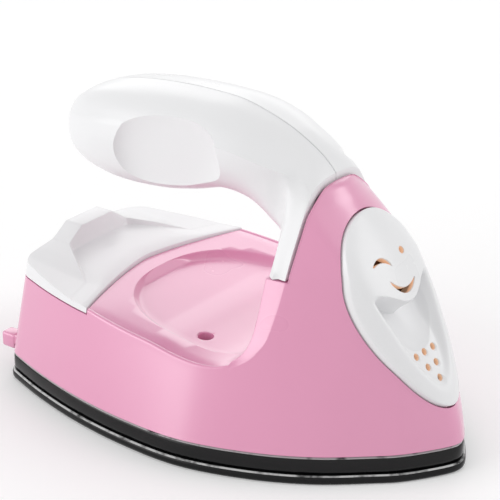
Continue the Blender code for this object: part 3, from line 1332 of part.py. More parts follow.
def build_lamp_unit():
    """Diffuser behind the panel, the lamp board on its standoffs and the screws of both."""
    length = panel_frame()[3]
    _, _, out, _ = panel_frame()
    face = -DIFFUSER_DEPTH
    back = face - DIFFUSER_THICKNESS
    diffuser = egg_prism("light_diffuser", ((0.0, back), (0.0, face)), DIFFUSER_SHARE, 28)
    to_part(diffuser, AMBER)
    standoffs = [length / 2 + side * STANDOFF_SPREAD for side in (-1, 1)]
    for k, place in enumerate(standoffs):
        combine(diffuser, rod_object(
            "standoff_%d" % k, panel_point(place, 0, GAP - BOARD_DEPTH), panel_point(place, 0, face - GAP),
            STANDOFF_RADIUS, sides=12), "UNION")
    for k, place in enumerate(standoffs):
        combine(diffuser, rod_object(
            "standoff_bore_%d" % k, panel_point(place, 0, -BOARD_DEPTH),
            panel_point(place, 0, STANDOFF_RADIUS * 2 - BOARD_DEPTH), SMALL_SCREW_RADIUS + GAP))
    for k, share in enumerate(PANEL_POST_SHARES):
        combine(diffuser, rod_object(
            "diffuser_screw_bore_%d" % k, panel_point(share * length, 0, back - OVERRUN),
            panel_point(share * length, 0, 0), SMALL_SCREW_RADIUS + GAP))
    smooth(diffuser)
    screws("panel_screw", [panel_point(share * length, 0, back - GAP) for share in PANEL_POST_SHARES],
           -out, SMALL_SCREW_RADIUS, -back - PANEL_BITE_FROM, SMALL_HEAD_RADIUS, SMALL_HEAD_HEIGHT, STEEL)

    bm = bmesh.new()
    corners = ((-1, -1), (1, -1), (1, 1), (-1, 1))
    rings = []
    for height in (-BOARD_DEPTH - BOARD_THICKNESS, -BOARD_DEPTH):
        rings.append([
            panel_point(length / 2 + u * BOARD_LENGTH / 2, v * BOARD_WIDTH / 2, height) for u, v in corners])
    loft(bm, rings)
    board = put_mesh("indicator_board", bm, PARTS, BOARD_GREEN)
    for k, place in enumerate(standoffs):
        combine(board, rod_object(
            "board_hole_%d" % k, panel_point(place, 0, -BOARD_DEPTH - OVERRUN), panel_point(place, 0, 0),
            SMALL_SCREW_RADIUS + GAP))
    seat = -BOARD_DEPTH - BOARD_THICKNESS - GAP
    screws("board_screw", [panel_point(place, 0, seat) for place in standoffs], -out, SMALL_SCREW_RADIUS,
           BOARD_THICKNESS + STANDOFF_RADIUS * 1.5, SMALL_HEAD_RADIUS, SMALL_HEAD_HEIGHT, STEEL)

    profile = (
        (0.0, LAMP_LENGTH), (LAMP_RADIUS * 0.7, LAMP_LENGTH - LAMP_RADIUS * 0.3),
        (LAMP_RADIUS, LAMP_LENGTH - LAMP_RADIUS), (LAMP_RADIUS, LAMP_RADIUS * 0.6),
        (LAMP_RADIUS * 1.2, LAMP_RADIUS * 0.6), (LAMP_RADIUS * 1.2, 0.0), (0.0, 0.0),
    )
    for k, side in enumerate((-1, 1)):
        foot = panel_point(length / 2 + side * LAMP_SPREAD, 0, GAP - BOARD_DEPTH)
        smooth(turned("indicator_lamp_%d" % (k + 1), profile, foot, out, PARTS, LAMP_RED))
    middle = panel_point(length / 2, 0, seat - RESISTOR_RADIUS)
    reach = Vector((0, RESISTOR_LENGTH / 2, 0))
    smooth(rod_object("resistor", middle - reach, middle + reach, RESISTOR_RADIUS, PARTS, RESISTOR_TAN))


def build_block():
    """Terminal block, its screws, and the bar that holds the cord, all on the base frame."""
    frame = bpy.data.objects["base_frame"]
    x = along(BLOCK_SHARE)
    foot = SHELL_FOOT
    top = foot + BLOCK_HEIGHT
    block = box("terminal_block", (x - BLOCK_LENGTH / 2, -BLOCK_WIDTH / 2, foot),
                (x + BLOCK_LENGTH / 2, BLOCK_WIDTH / 2, top), PARTS, BLOCK_WHITE)
    hole_z = foot + BLOCK_HOLE_RISE
    holes = bmesh.new()
    for spread in BLOCK_HOLE_SPREADS:
        for side in (-1, 1):
            rod(holes, (x - BLOCK_LENGTH, side * spread, hole_z), (x + BLOCK_LENGTH, side * spread, hole_z),
                LEAD_RADIUS + GAP)
    combine(block, put_mesh("block_holes", holes, CUTTERS))
    seat = top - BLOCK_SCREW_DROP
    combine(block, rod_object("block_well", (x, 0, seat), (x, 0, top + OVERRUN), SCREW_HEAD_RADIUS + GAP))
    combine(block, rod_object("block_bore", (x, 0, foot - OVERRUN), (x, 0, seat + GAP), SCREW_RADIUS + GAP))
    combine(frame, rod_object(
        "block_frame_bore", (x, 0, FRAME_TOP - FRAME_BITE - GAP), (x, 0, FRAME_TOP + OVERRUN),
        SCREW_RADIUS + GAP))
    screws("block_screw", [(x, 0, seat + GAP)], (0, 0, 1), SCREW_RADIUS, seat - FRAME_TOP + FRAME_BITE,
           SCREW_HEAD_RADIUS, SCREW_HEAD_HEIGHT, STEEL)
    spread = sum(BLOCK_HOLE_SPREADS) / 2
    bite = BLOCK_HEIGHT - BLOCK_HOLE_RISE - LEAD_RADIUS - 4 * GAP
    for k, side in enumerate((-1, 1)):
        combine(block, rod_object(
            "terminal_bore_%d" % k, (x, side * spread, top - bite), (x, side * spread, top + OVERRUN),
            SCREW_RADIUS + GAP))
    screws("terminal_screw", [(x, side * spread, top + GAP) for side in (-1, 1)], (0, 0, 1), SCREW_RADIUS,
           bite, SCREW_HEAD_RADIUS, SCREW_HEAD_HEIGHT, STEEL)

    x = along(CORD_CLAMP_SHARE)
    top = foot + CORD_CLAMP_HEIGHT
    bar = box("cord_clamp", (x - CORD_CLAMP_LENGTH / 2, -CORD_CLAMP_WIDTH / 2, foot),
              (x + CORD_CLAMP_LENGTH / 2, CORD_CLAMP_WIDTH / 2, top), PARTS, BLOCK_WHITE)
    combine(bar, rod_object("cord_groove", (x - CORD_CLAMP_LENGTH, 0, foot - GAP),
                            (x + CORD_CLAMP_LENGTH, 0, foot - GAP),
                            CORD_GROOVE_RADIUS))
    places = [(x, side * CORD_CLAMP_SPREAD) for side in (-1, 1)]
    for k, (px, py) in enumerate(places):
        combine(bar, rod_object("bar_bore_%d" % k, (px, py, foot - OVERRUN), (px, py, top + OVERRUN),
                                SCREW_RADIUS + GAP))
        combine(frame, rod_object("bar_frame_bore_%d" % k, (px, py, FRAME_TOP - FRAME_BITE - GAP),
                                  (px, py, FRAME_TOP + OVERRUN), SCREW_RADIUS + GAP))
    screws("cord_clamp_screw", [(px, py, top + GAP) for px, py in places], (0, 0, 1), SCREW_RADIUS,
           CORD_CLAMP_HEIGHT + GAP + FRAME_BITE, SCREW_HEAD_RADIUS, SCREW_HEAD_HEIGHT, STEEL)


def lead(name, points, material):
    """Insulated lead: a tube along its course."""
    curve = bpy.data.curves.new(name, "CURVE")
    curve.dimensions = "3D"
    curve.bevel_depth = LEAD_RADIUS
    curve.bevel_resolution = 2
    curve.use_fill_caps = True
    spline = curve.splines.new("POLY")
    spline.points.add(len(points) - 1)
    for spot, place in zip(spline.points, points):
        spot.co = (*place, 1.0)
    curve.materials.append(material)
    PARTS.objects.link(bpy.data.objects.new(name, curve))


def build_leads(seat, tab_top, fuse):
    """Leads between the block, the thermostat, the fuse, the heater and the lamp board."""
    step = LEAD_STEP
    hole_z = SHELL_FOOT + BLOCK_HOLE_RISE
    block_front = along(BLOCK_SHARE) + BLOCK_LENGTH / 2
    inside = block_front - BLOCK_LENGTH / 3
    near, wide = BLOCK_HOLE_SPREADS
    heater_rear = along(HEATER_SHARE) - HEATER_LENGTH / 2
    clamp_rear = heater_rear - CLAMP_END
    heater_z = PLATFORM_TOP + GAP + HEATER_THICKNESS / 2
    tab_x, tab_z = tab_top
    tab_end = tab_x - TAB_WIDTH / 2 - LEAD_GAP
    tab_y = CAN_RADIUS / 2
    tab_z -= 2 * LEAD_RADIUS
    fuse_x, fuse_z = fuse
    wire_end = FUSE_LENGTH / 2 + FUSE_WIRE_LENGTH
    lead("lead_supply", (
        (inside, near, hole_z), (block_front, near, hole_z),
        (clamp_rear + step / 2, near + step / 2, seat + step),
        (fuse_x - 2.5 * step, near + 1.5 * step, fuse_z + step),
        (fuse_x + step, near + 1.5 * step, tab_z - step),
        (tab_x - 3 * step, tab_y, tab_z), (tab_end, tab_y, tab_z)), LEAD_RED)
    lead("lead_link", (
        (tab_end, -tab_y, tab_z), (tab_x - 3 * step, -tab_y - step / 2, tab_z),
        (fuse_x + 3 * step, -wire_end - step, fuse_z + step),
        (fuse_x + step / 2, -wire_end - 1.5 * step, fuse_z),
        (fuse_x, -wire_end - LEAD_GAP, fuse_z)), LEAD_RED)
    lead("lead_heater_1", (
        (fuse_x, wire_end + LEAD_GAP, fuse_z), (fuse_x, wire_end + 1.5 * step, fuse_z),
        (fuse_x - 2 * step, wire_end + 2.5 * step, fuse_z - step / 2),
        (heater_rear - step / 2, wire_end + 2 * step, (heater_z + fuse_z) / 2),
        (heater_rear - 2 * step, wire_end + step, heater_z + step / 4),
        (heater_rear - 1.5 * step, wire_end + step / 4, heater_z),
        (heater_rear - LEAD_GAP, wire_end + step / 4, heater_z)), LEAD_WHITE)
    lead("lead_heater_2", (
        (inside, -near, hole_z), (block_front + step / 4, -near - step / 4, hole_z),
        (block_front + step / 4, -near - 2 * step, hole_z - step),
        (clamp_rear + step / 2, -wire_end - step / 2, heater_z + step / 4),
        (heater_rear - step, -wire_end - step / 4, heater_z),
        (heater_rear - LEAD_GAP, -wire_end - step / 4, heater_z)), LEAD_WHITE)
    length = panel_frame()[3]
    place = length / 2 + BOARD_LENGTH / 3
    back = -BOARD_DEPTH - BOARD_THICKNESS - LEAD_GAP
    for k, side in enumerate((-1, 1)):
        lead("lead_lamp_%d" % (k + 1), (
            (inside, side * wide, hole_z), (block_front, side * wide, hole_z),
            (clamp_rear + step / 2, side * (wide + step / 2), seat + step),
            (heater_rear, side * (wire_end + 1.5 * step), seat + step),
            (fuse_x, side * (wire_end + 2.25 * step), seat + 2 * step),
            (along(WELL_SHARE), side * (WELL_SPREAD - POST_RADIUS - step), seat + 2.25 * step),
            (tab_x + CAN_RADIUS + step, side * (wire_end + step / 4), seat + 3 * step),
            panel_point(place, side * 2 * step, back - 3 * step),
            panel_point(place, side * 2 * step, back)), LEAD_RED if side > 0 else LEAD_WHITE)


build_soleplate()
build_base_frame()
clamp_top = build_heater()
thermostat_tab = build_thermostat(clamp_top)
fuse_place = build_thermal_fuse(clamp_top)
build_shell()
build_cover()
build_handle()
build_panel()
build_lamp_unit()
build_block()
build_leads(clamp_top, thermostat_tab, fuse_place)
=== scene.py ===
"""Mini handheld heat press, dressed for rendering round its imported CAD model.

Lengths are in metres. The nose points along +X, the seen side is -Y and the sole faces down.
"""
import json
import math

import bmesh
import bpy
from mathutils import Matrix, Vector
from mathutils.bvhtree import BVHTree

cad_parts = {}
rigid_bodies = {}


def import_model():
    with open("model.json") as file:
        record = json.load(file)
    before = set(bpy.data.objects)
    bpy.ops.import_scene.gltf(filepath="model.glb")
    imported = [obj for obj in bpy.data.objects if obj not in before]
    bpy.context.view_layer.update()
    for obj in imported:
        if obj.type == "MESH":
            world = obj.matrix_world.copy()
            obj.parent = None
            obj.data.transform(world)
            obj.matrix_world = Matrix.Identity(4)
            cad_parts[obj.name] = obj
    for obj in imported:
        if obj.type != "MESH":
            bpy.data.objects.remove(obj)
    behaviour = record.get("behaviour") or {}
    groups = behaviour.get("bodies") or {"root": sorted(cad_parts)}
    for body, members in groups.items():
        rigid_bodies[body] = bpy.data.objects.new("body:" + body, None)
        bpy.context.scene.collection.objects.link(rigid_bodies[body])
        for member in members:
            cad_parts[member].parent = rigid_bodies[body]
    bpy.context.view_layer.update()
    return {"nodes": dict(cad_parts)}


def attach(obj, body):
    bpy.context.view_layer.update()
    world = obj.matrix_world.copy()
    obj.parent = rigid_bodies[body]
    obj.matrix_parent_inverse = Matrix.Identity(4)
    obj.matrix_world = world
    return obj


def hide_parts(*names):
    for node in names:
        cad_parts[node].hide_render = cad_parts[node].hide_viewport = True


for old in list(bpy.data.objects):
    bpy.data.objects.remove(old, do_unlink=True)
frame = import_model()
nodes = frame["nodes"]

# Sole plate: cast aluminium with a black non-stick coating, its rim turned up round the edge.
# Its outline, drawn here, is the one that the base frame and the shell follow too.
SOLE_REAR = -0.0504
SOLE_LENGTH = 0.1048
SOLE_WIDTH = 0.0691
SOLE_THICKNESS = 0.0022
SOLE_CORNER = 0.0030
SOLE_CAP = 0.0088
FRONT_SHARE = 0.63
# Section of the rim: how far in from the outline, and how high
SOLE_RIM = (
    (0.0030, 0.0), (0.0009, 0.0), (0.00045, 0.00012), (0.00015, 0.0004), (0.0, 0.0008), (0.0, 0.0014),
    (0.00012, 0.0018), (0.0004, 0.00208), (0.0009, SOLE_THICKNESS), (0.0040, SOLE_THICKNESS),
)
# Half width along the sole, and how far the wall above it leans in for each unit of height
PLAN_SHARES = (
    (0.0, 0.705), (0.048, 0.762), (0.134, 0.85), (0.258, 0.942), (0.401, 0.997), (0.544, 0.991),
    (0.687, 0.861), (0.802, 0.676), (0.897, 0.442), (0.964, 0.266), (1.012, 0.142),
)
LEAN_SHARES = ((0.0, 0.24), (0.26, 0.25), (0.5, 0.335), (0.69, 0.339), (0.8, 0.329), (0.9, 0.29), (1.02, 0.25))
HIGHLIGHT_NOISE_SCALE = 260.0
SOLE_HIGHLIGHT_LINE = (0.00186, 0.00212)
SOLE_HIGHLIGHT_GREY = (0.55, 0.55, 0.55)
SOLE_HIGHLIGHT_SPREAD = (0.34, 0.50)
SHOULDER_RISE = 0.0350
SHOULDER_LEAN = 0.23


def along(share):
    """Place along the sole, from its heel at 0 to its tip at 1."""
    return SOLE_REAR + share * SOLE_LENGTH


def read_curve(table, place):
    """Smooth curve through the rows of a table."""
    last = len(table) - 1
    k = 0
    while k < last - 1 and place > table[k + 1][0]:
        k += 1
    slopes = []
    for n in (k, k + 1):
        before, after = table[max(n - 1, 0)], table[min(n + 1, last)]
        slopes.append((after[1] - before[1]) / (after[0] - before[0]))
    (x0, y0), (x1, y1) = table[k], table[k + 1]
    span = x1 - x0
    t = min(max((place - x0) / span, 0.0), 1.0)
    value = (1 + 2 * t) * (1 - t) ** 2 * y0 + t * t * (3 - 2 * t) * y1
    return value + span * (t * (1 - t) ** 2 * slopes[0] - t * t * (1 - t) * slopes[1])


def wall_at(x, rise, inset):
    """Half width of the leaning side wall at a height over the shell's foot."""
    share = (x - SOLE_REAR) / SOLE_LENGTH
    lean = read_curve(LEAN_SHARES, share) * rise + SHOULDER_LEAN * max(rise - SHOULDER_RISE, 0.0)
    return read_curve(PLAN_SHARES, share) * SOLE_WIDTH / 2 - lean - inset


def round_nose(start, nose, cap, sides, turns):
    """Places along the side from its start to the nose, close together where the nose turns."""
    reach = min(cap, 0.6 * (nose - start))
    turn_from = nose - reach
    places = [start + (turn_from - start) * k / sides for k in range(sides)]
    return places + [turn_from + reach * math.sin(math.pi / 2 * k / turns) for k in range(turns + 1)]


def nose_width(x, nose, cap, rise, inset):
    """Half width at a place, rounded in towards the nose."""
    depth = min(max((nose - x) / cap, 0.0), 1.0)
    return wall_at(x, rise, inset) * math.sqrt(1 - (1 - depth) ** 2)


def rear_corner(rear, corner, rise, inset, steps=8):
    """Rounded corner at the heel, from the middle of the heel to the start of the side."""
    points = [(rear, 0.0), (rear, (wall_at(rear, rise, inset) - corner) / 2)]
    for k in range(steps + 1):
        a = math.pi / 2 * k / steps
        x = rear + corner * (1 - math.cos(a))
        points.append((x, wall_at(x, rise, inset) - corner * (1 - math.sin(a))))
    return points


def both_halves(half):
    """Closed outline from the half that runs along one side."""
    return half + [(x, -y) for x, y in reversed(half[1:-1])]


def sole_outline(inset):
    """Closed outline of the sole, drawn in by an inset."""
    rear = SOLE_REAR + inset
    nose = SOLE_REAR + SOLE_LENGTH - inset
    corner = max(SOLE_CORNER - inset / 2, SOLE_CORNER / 2)
    half = rear_corner(rear, corner, 0.0, inset)
    for x in round_nose(rear + corner, nose, SOLE_CAP, 44, 22)[1:]:
        half.append((x, nose_width(x, nose, SOLE_CAP, 0.0, inset)))
    return both_halves(half)


def pull_rings(rings, closed=True):
    """Pull a ring of edges from each outline to the next, and close both ends where asked."""
    bm = bmesh.new()
    ring = [bm.verts.new(point) for point in rings[0]]
    edges = [bm.edges.new(pair) for pair in zip(ring, ring[1:] + ring[:1])]
    ends = [ring]
    for points in rings[1:]:
        pulled = bmesh.ops.extrude_edge_only(bm, edges=edges)["geom"]
        fresh = {v for v in pulled if isinstance(v, bmesh.types.BMVert)}
        ring = [next(e.other_vert(v) for e in v.link_edges if e.other_vert(v) in fresh) for v in ring]
        edges = [e for e in pulled if isinstance(e, bmesh.types.BMEdge) and set(e.verts) <= fresh]
        for v, point in zip(ring, points):
            v.co = point
    ends.append(ring)
    if closed:
        for end in ends:
            bm.faces.new(end)
    bmesh.ops.recalc_face_normals(bm, faces=bm.faces)
    return bm


def make_piece(name, bm, material=None, smooth_angle=40.0):
    """Object from a bmesh, smooth apart from its sharp edges."""
    mesh = bpy.data.meshes.new(name)
    bm.to_mesh(mesh)
    bm.free()
    mesh.shade_smooth()
    mesh.set_sharp_from_angle(angle=math.radians(smooth_angle))
    piece = bpy.data.objects.new(name, mesh)
    bpy.context.scene.collection.objects.link(piece)
    if material:
        mesh.materials.append(material)
    return piece


def new_material(
        name, colour, roughness, metallic=0.0, coat=0.0, coat_roughness=0.05, coat_ior=1.5, specular=0.5):
    """Node material with its plain numbers set on the shader."""
    material = bpy.data.materials.new(name)
    material.use_nodes = True
    shader = material.node_tree.nodes["Principled BSDF"]
    for socket, value in (
            ("Base Color", (*colour, 1.0)), ("Roughness", roughness), ("Metallic", metallic), ("Coat Weight", coat),
            ("Coat Roughness", coat_roughness), ("Coat IOR", coat_ior), ("Specular IOR Level", specular)):
        shader.inputs[socket].default_value = value
    return material, material.node_tree, shader


def add_node(tree, kind, **values):
    """Node with its named inputs set, and its operation where one is given."""
    node = tree.nodes.new(kind)
    for key, value in values.items():
        if key == "operation":
            node.operation = value
        else:
            node.inputs[key.replace("_", " ")].default_value = value
    return node


def build_skin_group():
    """Group for a moulded or coated skin: fine grain, slow unevenness and a thin film of dust."""
    group = bpy.data.node_groups.new("skin_detail", "ShaderNodeTree")
    for name, value in (("Grain Scale", 900.0), ("Wave Scale", 60.0), ("Speck Scale", 500.0)):
        group.interface.new_socket(name, in_out="INPUT", socket_type="NodeSocketFloat").default_value = value
    for name in ("Grain", "Wave", "Specks"):
        group.interface.new_socket(name, in_out="OUTPUT", socket_type="NodeSocketFloat")
    start = group.nodes.new("NodeGroupInput")
    end = group.nodes.new("NodeGroupOutput")
    coordinates = group.nodes.new("ShaderNodeTexCoord")
    grain = add_node(group, "ShaderNodeTexNoise", Detail=3.0, Roughness=0.6)
    wave = add_node(group, "ShaderNodeTexNoise", Detail=2.0, Roughness=0.5)
    specks = group.nodes.new("ShaderNodeTexVoronoi")
    edge = add_node(group, "ShaderNodeMapRange", From_Min=0.16, From_Max=0.08)
    links = group.links
    for node, socket in ((grain, "Grain Scale"), (wave, "Wave Scale"), (specks, "Speck Scale")):
        links.new(coordinates.outputs["Object"], node.inputs["Vector"])
        links.new(start.outputs[socket], node.inputs["Scale"])
    links.new(specks.outputs["Distance"], edge.inputs["Value"])
    links.new(grain.outputs["Fac"], end.inputs["Grain"])
    links.new(wave.outputs["Fac"], end.inputs["Wave"])
    links.new(edge.outputs["Result"], end.inputs["Specks"])
    return group


SKIN_DETAIL = build_skin_group()


def dress(tree, shader, colour, shade, roughness, rough_spread, bump, scales, specks=0.0):
    """Colour, roughness and bump of a skin, driven by the shared group."""
    skin = tree.nodes.new("ShaderNodeGroup")
    skin.node_tree = SKIN_DETAIL
    for name, value in zip(("Grain Scale", "Wave Scale", "Speck Scale"), scales):
        skin.inputs[name].default_value = value
    mix = tree.nodes.new("ShaderNodeMix")
    mix.data_type = "RGBA"
    mix.inputs["A"].default_value = (*colour, 1.0)
    mix.inputs["B"].default_value = (*shade, 1.0)
    tree.links.new(skin.outputs["Wave"], mix.inputs["Factor"])
    tree.links.new(mix.outputs["Result"], shader.inputs["Base Color"])
    spread = add_node(
        tree, "ShaderNodeMapRange", From_Min=0.3, From_Max=0.7, To_Min=roughness - rough_spread,
        To_Max=roughness + rough_spread)
    tree.links.new(skin.outputs["Wave"], spread.inputs["Value"])
    if specks:
        add = add_node(tree, "ShaderNodeMath", operation="MULTIPLY_ADD")
        add.inputs[1].default_value = specks
        tree.links.new(skin.outputs["Specks"], add.inputs[0])
        tree.links.new(spread.outputs["Result"], add.inputs[2])
        tree.links.new(add.outputs["Value"], shader.inputs["Roughness"])
    else:
        tree.links.new(spread.outputs["Result"], shader.inputs["Roughness"])
    relief = add_node(tree, "ShaderNodeBump", Strength=1.0, Distance=bump)
    tree.links.new(skin.outputs["Grain"], relief.inputs["Height"])
    tree.links.new(relief.outputs["Normal"], shader.inputs["Normal"])


def skin_material(name, colour, shade, roughness, spread, bump, scales, specks=0.0, **finish):
    """Moulded or coated finish: two close colours, roughness and its spread, grain depth and the group's scales."""
    material, tree, shader = new_material(name, colour, roughness, **finish)
    dress(tree, shader, colour, shade, roughness, spread, bump, scales, specks)
    return material


def painted_highlight_line(material, low, high, colour, spread):
    """Painted highlight: a thin light line at a height, broken up by fine noise."""
    tree = material.node_tree
    shader = tree.nodes["Principled BSDF"]
    coordinates = tree.nodes.new("ShaderNodeTexCoord")
    place = tree.nodes.new("ShaderNodeSeparateXYZ")
    line = add_node(tree, "ShaderNodeMath", operation="COMPARE")
    line.inputs[1].default_value = (low + high) / 2
    line.inputs[2].default_value = (high - low) / 2
    speckle = add_node(tree, "ShaderNodeTexNoise", Scale=HIGHLIGHT_NOISE_SCALE, Detail=3.0)
    highlight_breakup = add_node(tree, "ShaderNodeMapRange", From_Min=spread[0], From_Max=spread[1])
    amount = add_node(tree, "ShaderNodeMath", operation="MULTIPLY")
    mix = tree.nodes.new("ShaderNodeMix")
    mix.data_type = "RGBA"
    mix.inputs["B"].default_value = (*colour, 1.0)
    links = tree.links
    links.new(coordinates.outputs["Object"], place.inputs["Vector"])
    links.new(coordinates.outputs["Object"], speckle.inputs["Vector"])
    links.new(place.outputs["Z"], line.inputs[0])
    links.new(speckle.outputs["Fac"], highlight_breakup.inputs["Value"])
    links.new(line.outputs["Value"], amount.inputs[0])
    links.new(highlight_breakup.outputs["Result"], amount.inputs[1])
    links.new(shader.inputs["Base Color"].links[0].from_socket, mix.inputs["A"])
    links.new(amount.outputs["Value"], mix.inputs["Factor"])
    links.new(mix.outputs["Result"], shader.inputs["Base Color"])


coated_black = skin_material(
    "coated_black", (0.003, 0.003, 0.0035), (0.006, 0.006, 0.0065), 0.26, 0.05, 0.00001, (1600.0, 90.0, 700.0), 0.10,
    specular=0.22)
# A thin light grey line is painted just under the sole's top edge: a painted highlight on its rounded rim.
painted_highlight_line(coated_black, *SOLE_HIGHLIGHT_LINE, SOLE_HIGHLIGHT_GREY, SOLE_HIGHLIGHT_SPREAD)
sole_rings = [[(x, y, z) for x, y in sole_outline(inset)] for inset, z in SOLE_RIM]
sole = make_piece("coated_sole", pull_rings(sole_rings), coated_black)
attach(sole, "root")
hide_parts("soleplate")

# Base frame: heat-resistant black ring moulded to the same outline, standing on the sole.
# A thin light line is painted round the press just under its top edge: a painted highlight where the rounded top edge
# catches the light.
FRAME_FOOT = 0.0025
FRAME_TOP = 0.00615
FRAME_RING = (
    (0.0065, FRAME_FOOT), (0.0012, FRAME_FOOT), (0.0008, FRAME_FOOT + 0.0001), (0.00062, FRAME_FOOT + 0.0003),
    (0.0005, FRAME_FOOT + 0.0008), (0.00058, FRAME_TOP - 0.0007), (0.0008, FRAME_TOP - 0.00025),
    (0.0012, FRAME_TOP - 0.00006), (0.0018, FRAME_TOP), (0.0065, FRAME_TOP),
)
FRAME_HIGHLIGHT_LINE = (FRAME_TOP - 0.00034, FRAME_TOP - 0.00004)
FRAME_HIGHLIGHT_GREY = (0.50, 0.50, 0.50)
FRAME_HIGHLIGHT_SPREAD = (0.28, 0.44)
frame_black = skin_material(
    "frame_black", (0.004, 0.004, 0.0045), (0.007, 0.007, 0.0075), 0.20, 0.03, 0.000005, (1200.0, 70.0, 500.0),
    specular=0.25)
painted_highlight_line(frame_black, *FRAME_HIGHLIGHT_LINE, FRAME_HIGHLIGHT_GREY, FRAME_HIGHLIGHT_SPREAD)
ring_rings = [[(x, y, z) for x, y in sole_outline(inset)] for inset, z in FRAME_RING]
ring_mesh = pull_rings(ring_rings + ring_rings[:1], closed=False)
bmesh.ops.remove_doubles(ring_mesh, verts=ring_mesh.verts, dist=1e-6)
bmesh.ops.recalc_face_normals(ring_mesh, faces=ring_mesh.faces)
base_ring = make_piece("base_ring", ring_mesh, frame_black)
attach(base_ring, "root")
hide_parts("base_frame")

# Shell: one gloss pink ABS moulding over the works, with the saddle that the fingers reach over.
# It is hollow, stands on the base frame and is held by two screws sunk in the saddle.
SHELL_FOOT = 0.00645
SHELL_RISE = 0.0522
SHELL_INSET = 0.0005
SHELL_WALL = 0.0026
SHELL_CORNER = 0.0032
REAR_LEAN = 0.06
CAP_DEPTH = 0.0062
MOUND_TOP_SHARE = 0.9735
HUMP_REAR_SHARE = 0.60
RIDGE_SHARES = (
    (0.0, 1.0), (0.074, 0.992), (0.17, 0.975), (0.265, 0.954), (0.399, 0.925), (0.533, 0.890),
    (0.667, 0.845), (0.763, 0.804), (0.84, 0.767), (0.9, 0.7385), (0.936, 0.7242), (0.9646, 0.710),
    (0.9705, 0.6966), (0.976, 0.670),
)
CAP_SHARES = ((0.0, 1.45), (0.15, 1.0), (0.36, 0.75), (0.74, 0.74), (1.0, 1.3))
DECK_RISE = 0.0186
DECK_SHARES = (
    (-0.12, 1.035), (0.2, 1.03), (0.267, 1.0), (0.373, 0.937), (0.44, 0.899), (0.491, 0.853),
    (0.55, 0.819), (0.591, 0.828), (0.615, 0.87),
)
DECK_END = 0.615
# Saddle wall from its foot up, and the front edge of the band beside it: rise and place along
WALL_CURVE = ((0.01618, 0.615), (0.0170, 0.6235), (0.0178, 0.631), (0.01983, 0.6395), (0.0225, 0.6445),
              (0.0285, 0.647), (0.0339, 0.647))
BAND_CURVE = (
    (0.0158, 0.622), (0.0166, 0.636), (0.0181, 0.655), (0.0199, 0.667), (0.0216, 0.676), (0.0238, 0.681),
    (0.0266, 0.685), (0.0290, 0.688), (0.0316, 0.690), (0.0339, 0.6912),
)
BAND_DEPTH = 0.0018
BAND_FULL_RISE = 0.0216
SHELF_RISE = 0.03355
COLLAR_SHARE = 0.6938
LEG_END = 0.0403
# Steps inwards from the rim: distance, height of the lip on the deck, and of the round on the wall
RIM_STEPS = (
    (0.0, -0.00040, -0.00030), (0.00006, -0.00018, -0.00014), (0.00020, 0.00002, -0.00004),
    (0.00040, 0.00012, 0.0), (0.00080, 0.00012, 0.0), (0.00095, 0.00004, 0.0), (0.00110, -0.00006, 0.0),
    (0.00140, 0.0, 0.0),
)
DECK_STRIPS = 10
UPPER_RISES = (
    0.0165, 0.0169, 0.0174, 0.0180, 0.0188, 0.0198, 0.0207, 0.0216, 0.0227, 0.0238, 0.0252, 0.0266,
    0.0278, 0.0290, 0.0303, 0.0316, 0.0326, 0.0332, SHELF_RISE,
)


def deck_rise(share):
    """Height of the saddle's deck over the shell's foot."""
    return DECK_RISE * read_curve(DECK_SHARES, share)


def nose_at(rise, inset=0.0):
    """Place of the ridge at a height, drawn in square to its slope."""
    step = SHELL_RISE / 200
    low, high = (read_curve(RIDGE_SHARES, (rise + way * step) / SHELL_RISE) for way in (-1, 1))
    fall = (low - high) * SOLE_LENGTH / (2 * step)
    nose = along(read_curve(RIDGE_SHARES, rise / SHELL_RISE)) - (SHELL_INSET + inset) * math.sqrt(1 + fall * fall)
    return max(nose, along(FRONT_SHARE) + 0.0003)


def shell_half_width(x, rise, inset=0.0):
    """Half width of the shell at a place and a height."""
    cap = CAP_DEPTH * read_curve(CAP_SHARES, rise / SHELL_RISE)
    return nose_width(x, nose_at(rise, inset), cap, rise, SHELL_INSET + inset)


def nose_places(start, rise, inset, sides, turns):
    """Places along the side and round the nose at a height."""
    cap = CAP_DEPTH * read_curve(CAP_SHARES, rise / SHELL_RISE)
    return round_nose(start, nose_at(rise, inset), cap, sides, turns)


def mound(inset, foot_z=None, rows=24, sides=16, turns=10, split=0.55):
    """Whole leaning form of the shell, before the saddle is cut, drawn in by an inset."""
    rings = []
    shares = [MOUND_TOP_SHARE * math.sin(math.pi / 2 * k / rows) ** 0.9 for k in range(rows + 1)]
    for share in shares:
        rise = share * SHELL_RISE
        rear = along(0.0) + SHELL_INSET + inset + REAR_LEAN * rise
        if share > split:
            rear = along(HUMP_REAR_SHARE)
        half = rear_corner(rear, SHELL_CORNER - min(inset, SHELL_CORNER / 2), rise, SHELL_INSET + inset, 5)
        for x in nose_places(half[-1][0], rise, inset, sides, turns)[1:]:
            half.append((x, shell_half_width(x, rise, inset)))
        half[-1] = (half[-1][0], 0.0)
        z = foot_z if share == 0.0 and foot_z is not None else SHELL_FOOT + rise
        rings.append([(x, y, z) for x, y in both_halves(half)])
    return pull_rings(rings)


def strip_ys(width):
    """Half widths from the rim to the middle plane, first over the lip and then evenly."""
    squeeze = min(1.0, width / (2 * RIM_STEPS[-1][0]))
    inner = width - RIM_STEPS[-1][0] * squeeze
    ys = [width - step[0] * squeeze for step in RIM_STEPS]
    return ys + [inner * (1 - k / DECK_STRIPS) for k in range(1, DECK_STRIPS + 1)], squeeze


def rim_strip(base, lip):
    """Points from the rim to the middle plane, over a lip that fades from the deck (1) to the wall (0)."""
    ys, squeeze = strip_ys(base.y)
    steps = list(RIM_STEPS) + [(0.0, 0.0, 0.0)] * DECK_STRIPS
    points = []
    for y, (_, on_deck, on_wall) in zip(ys, steps):
        rise = on_deck * lip * squeeze
        back = on_wall * (1 - lip) * squeeze
        points.append(Vector((base.x - back, y, base.z + rise)))
    return points


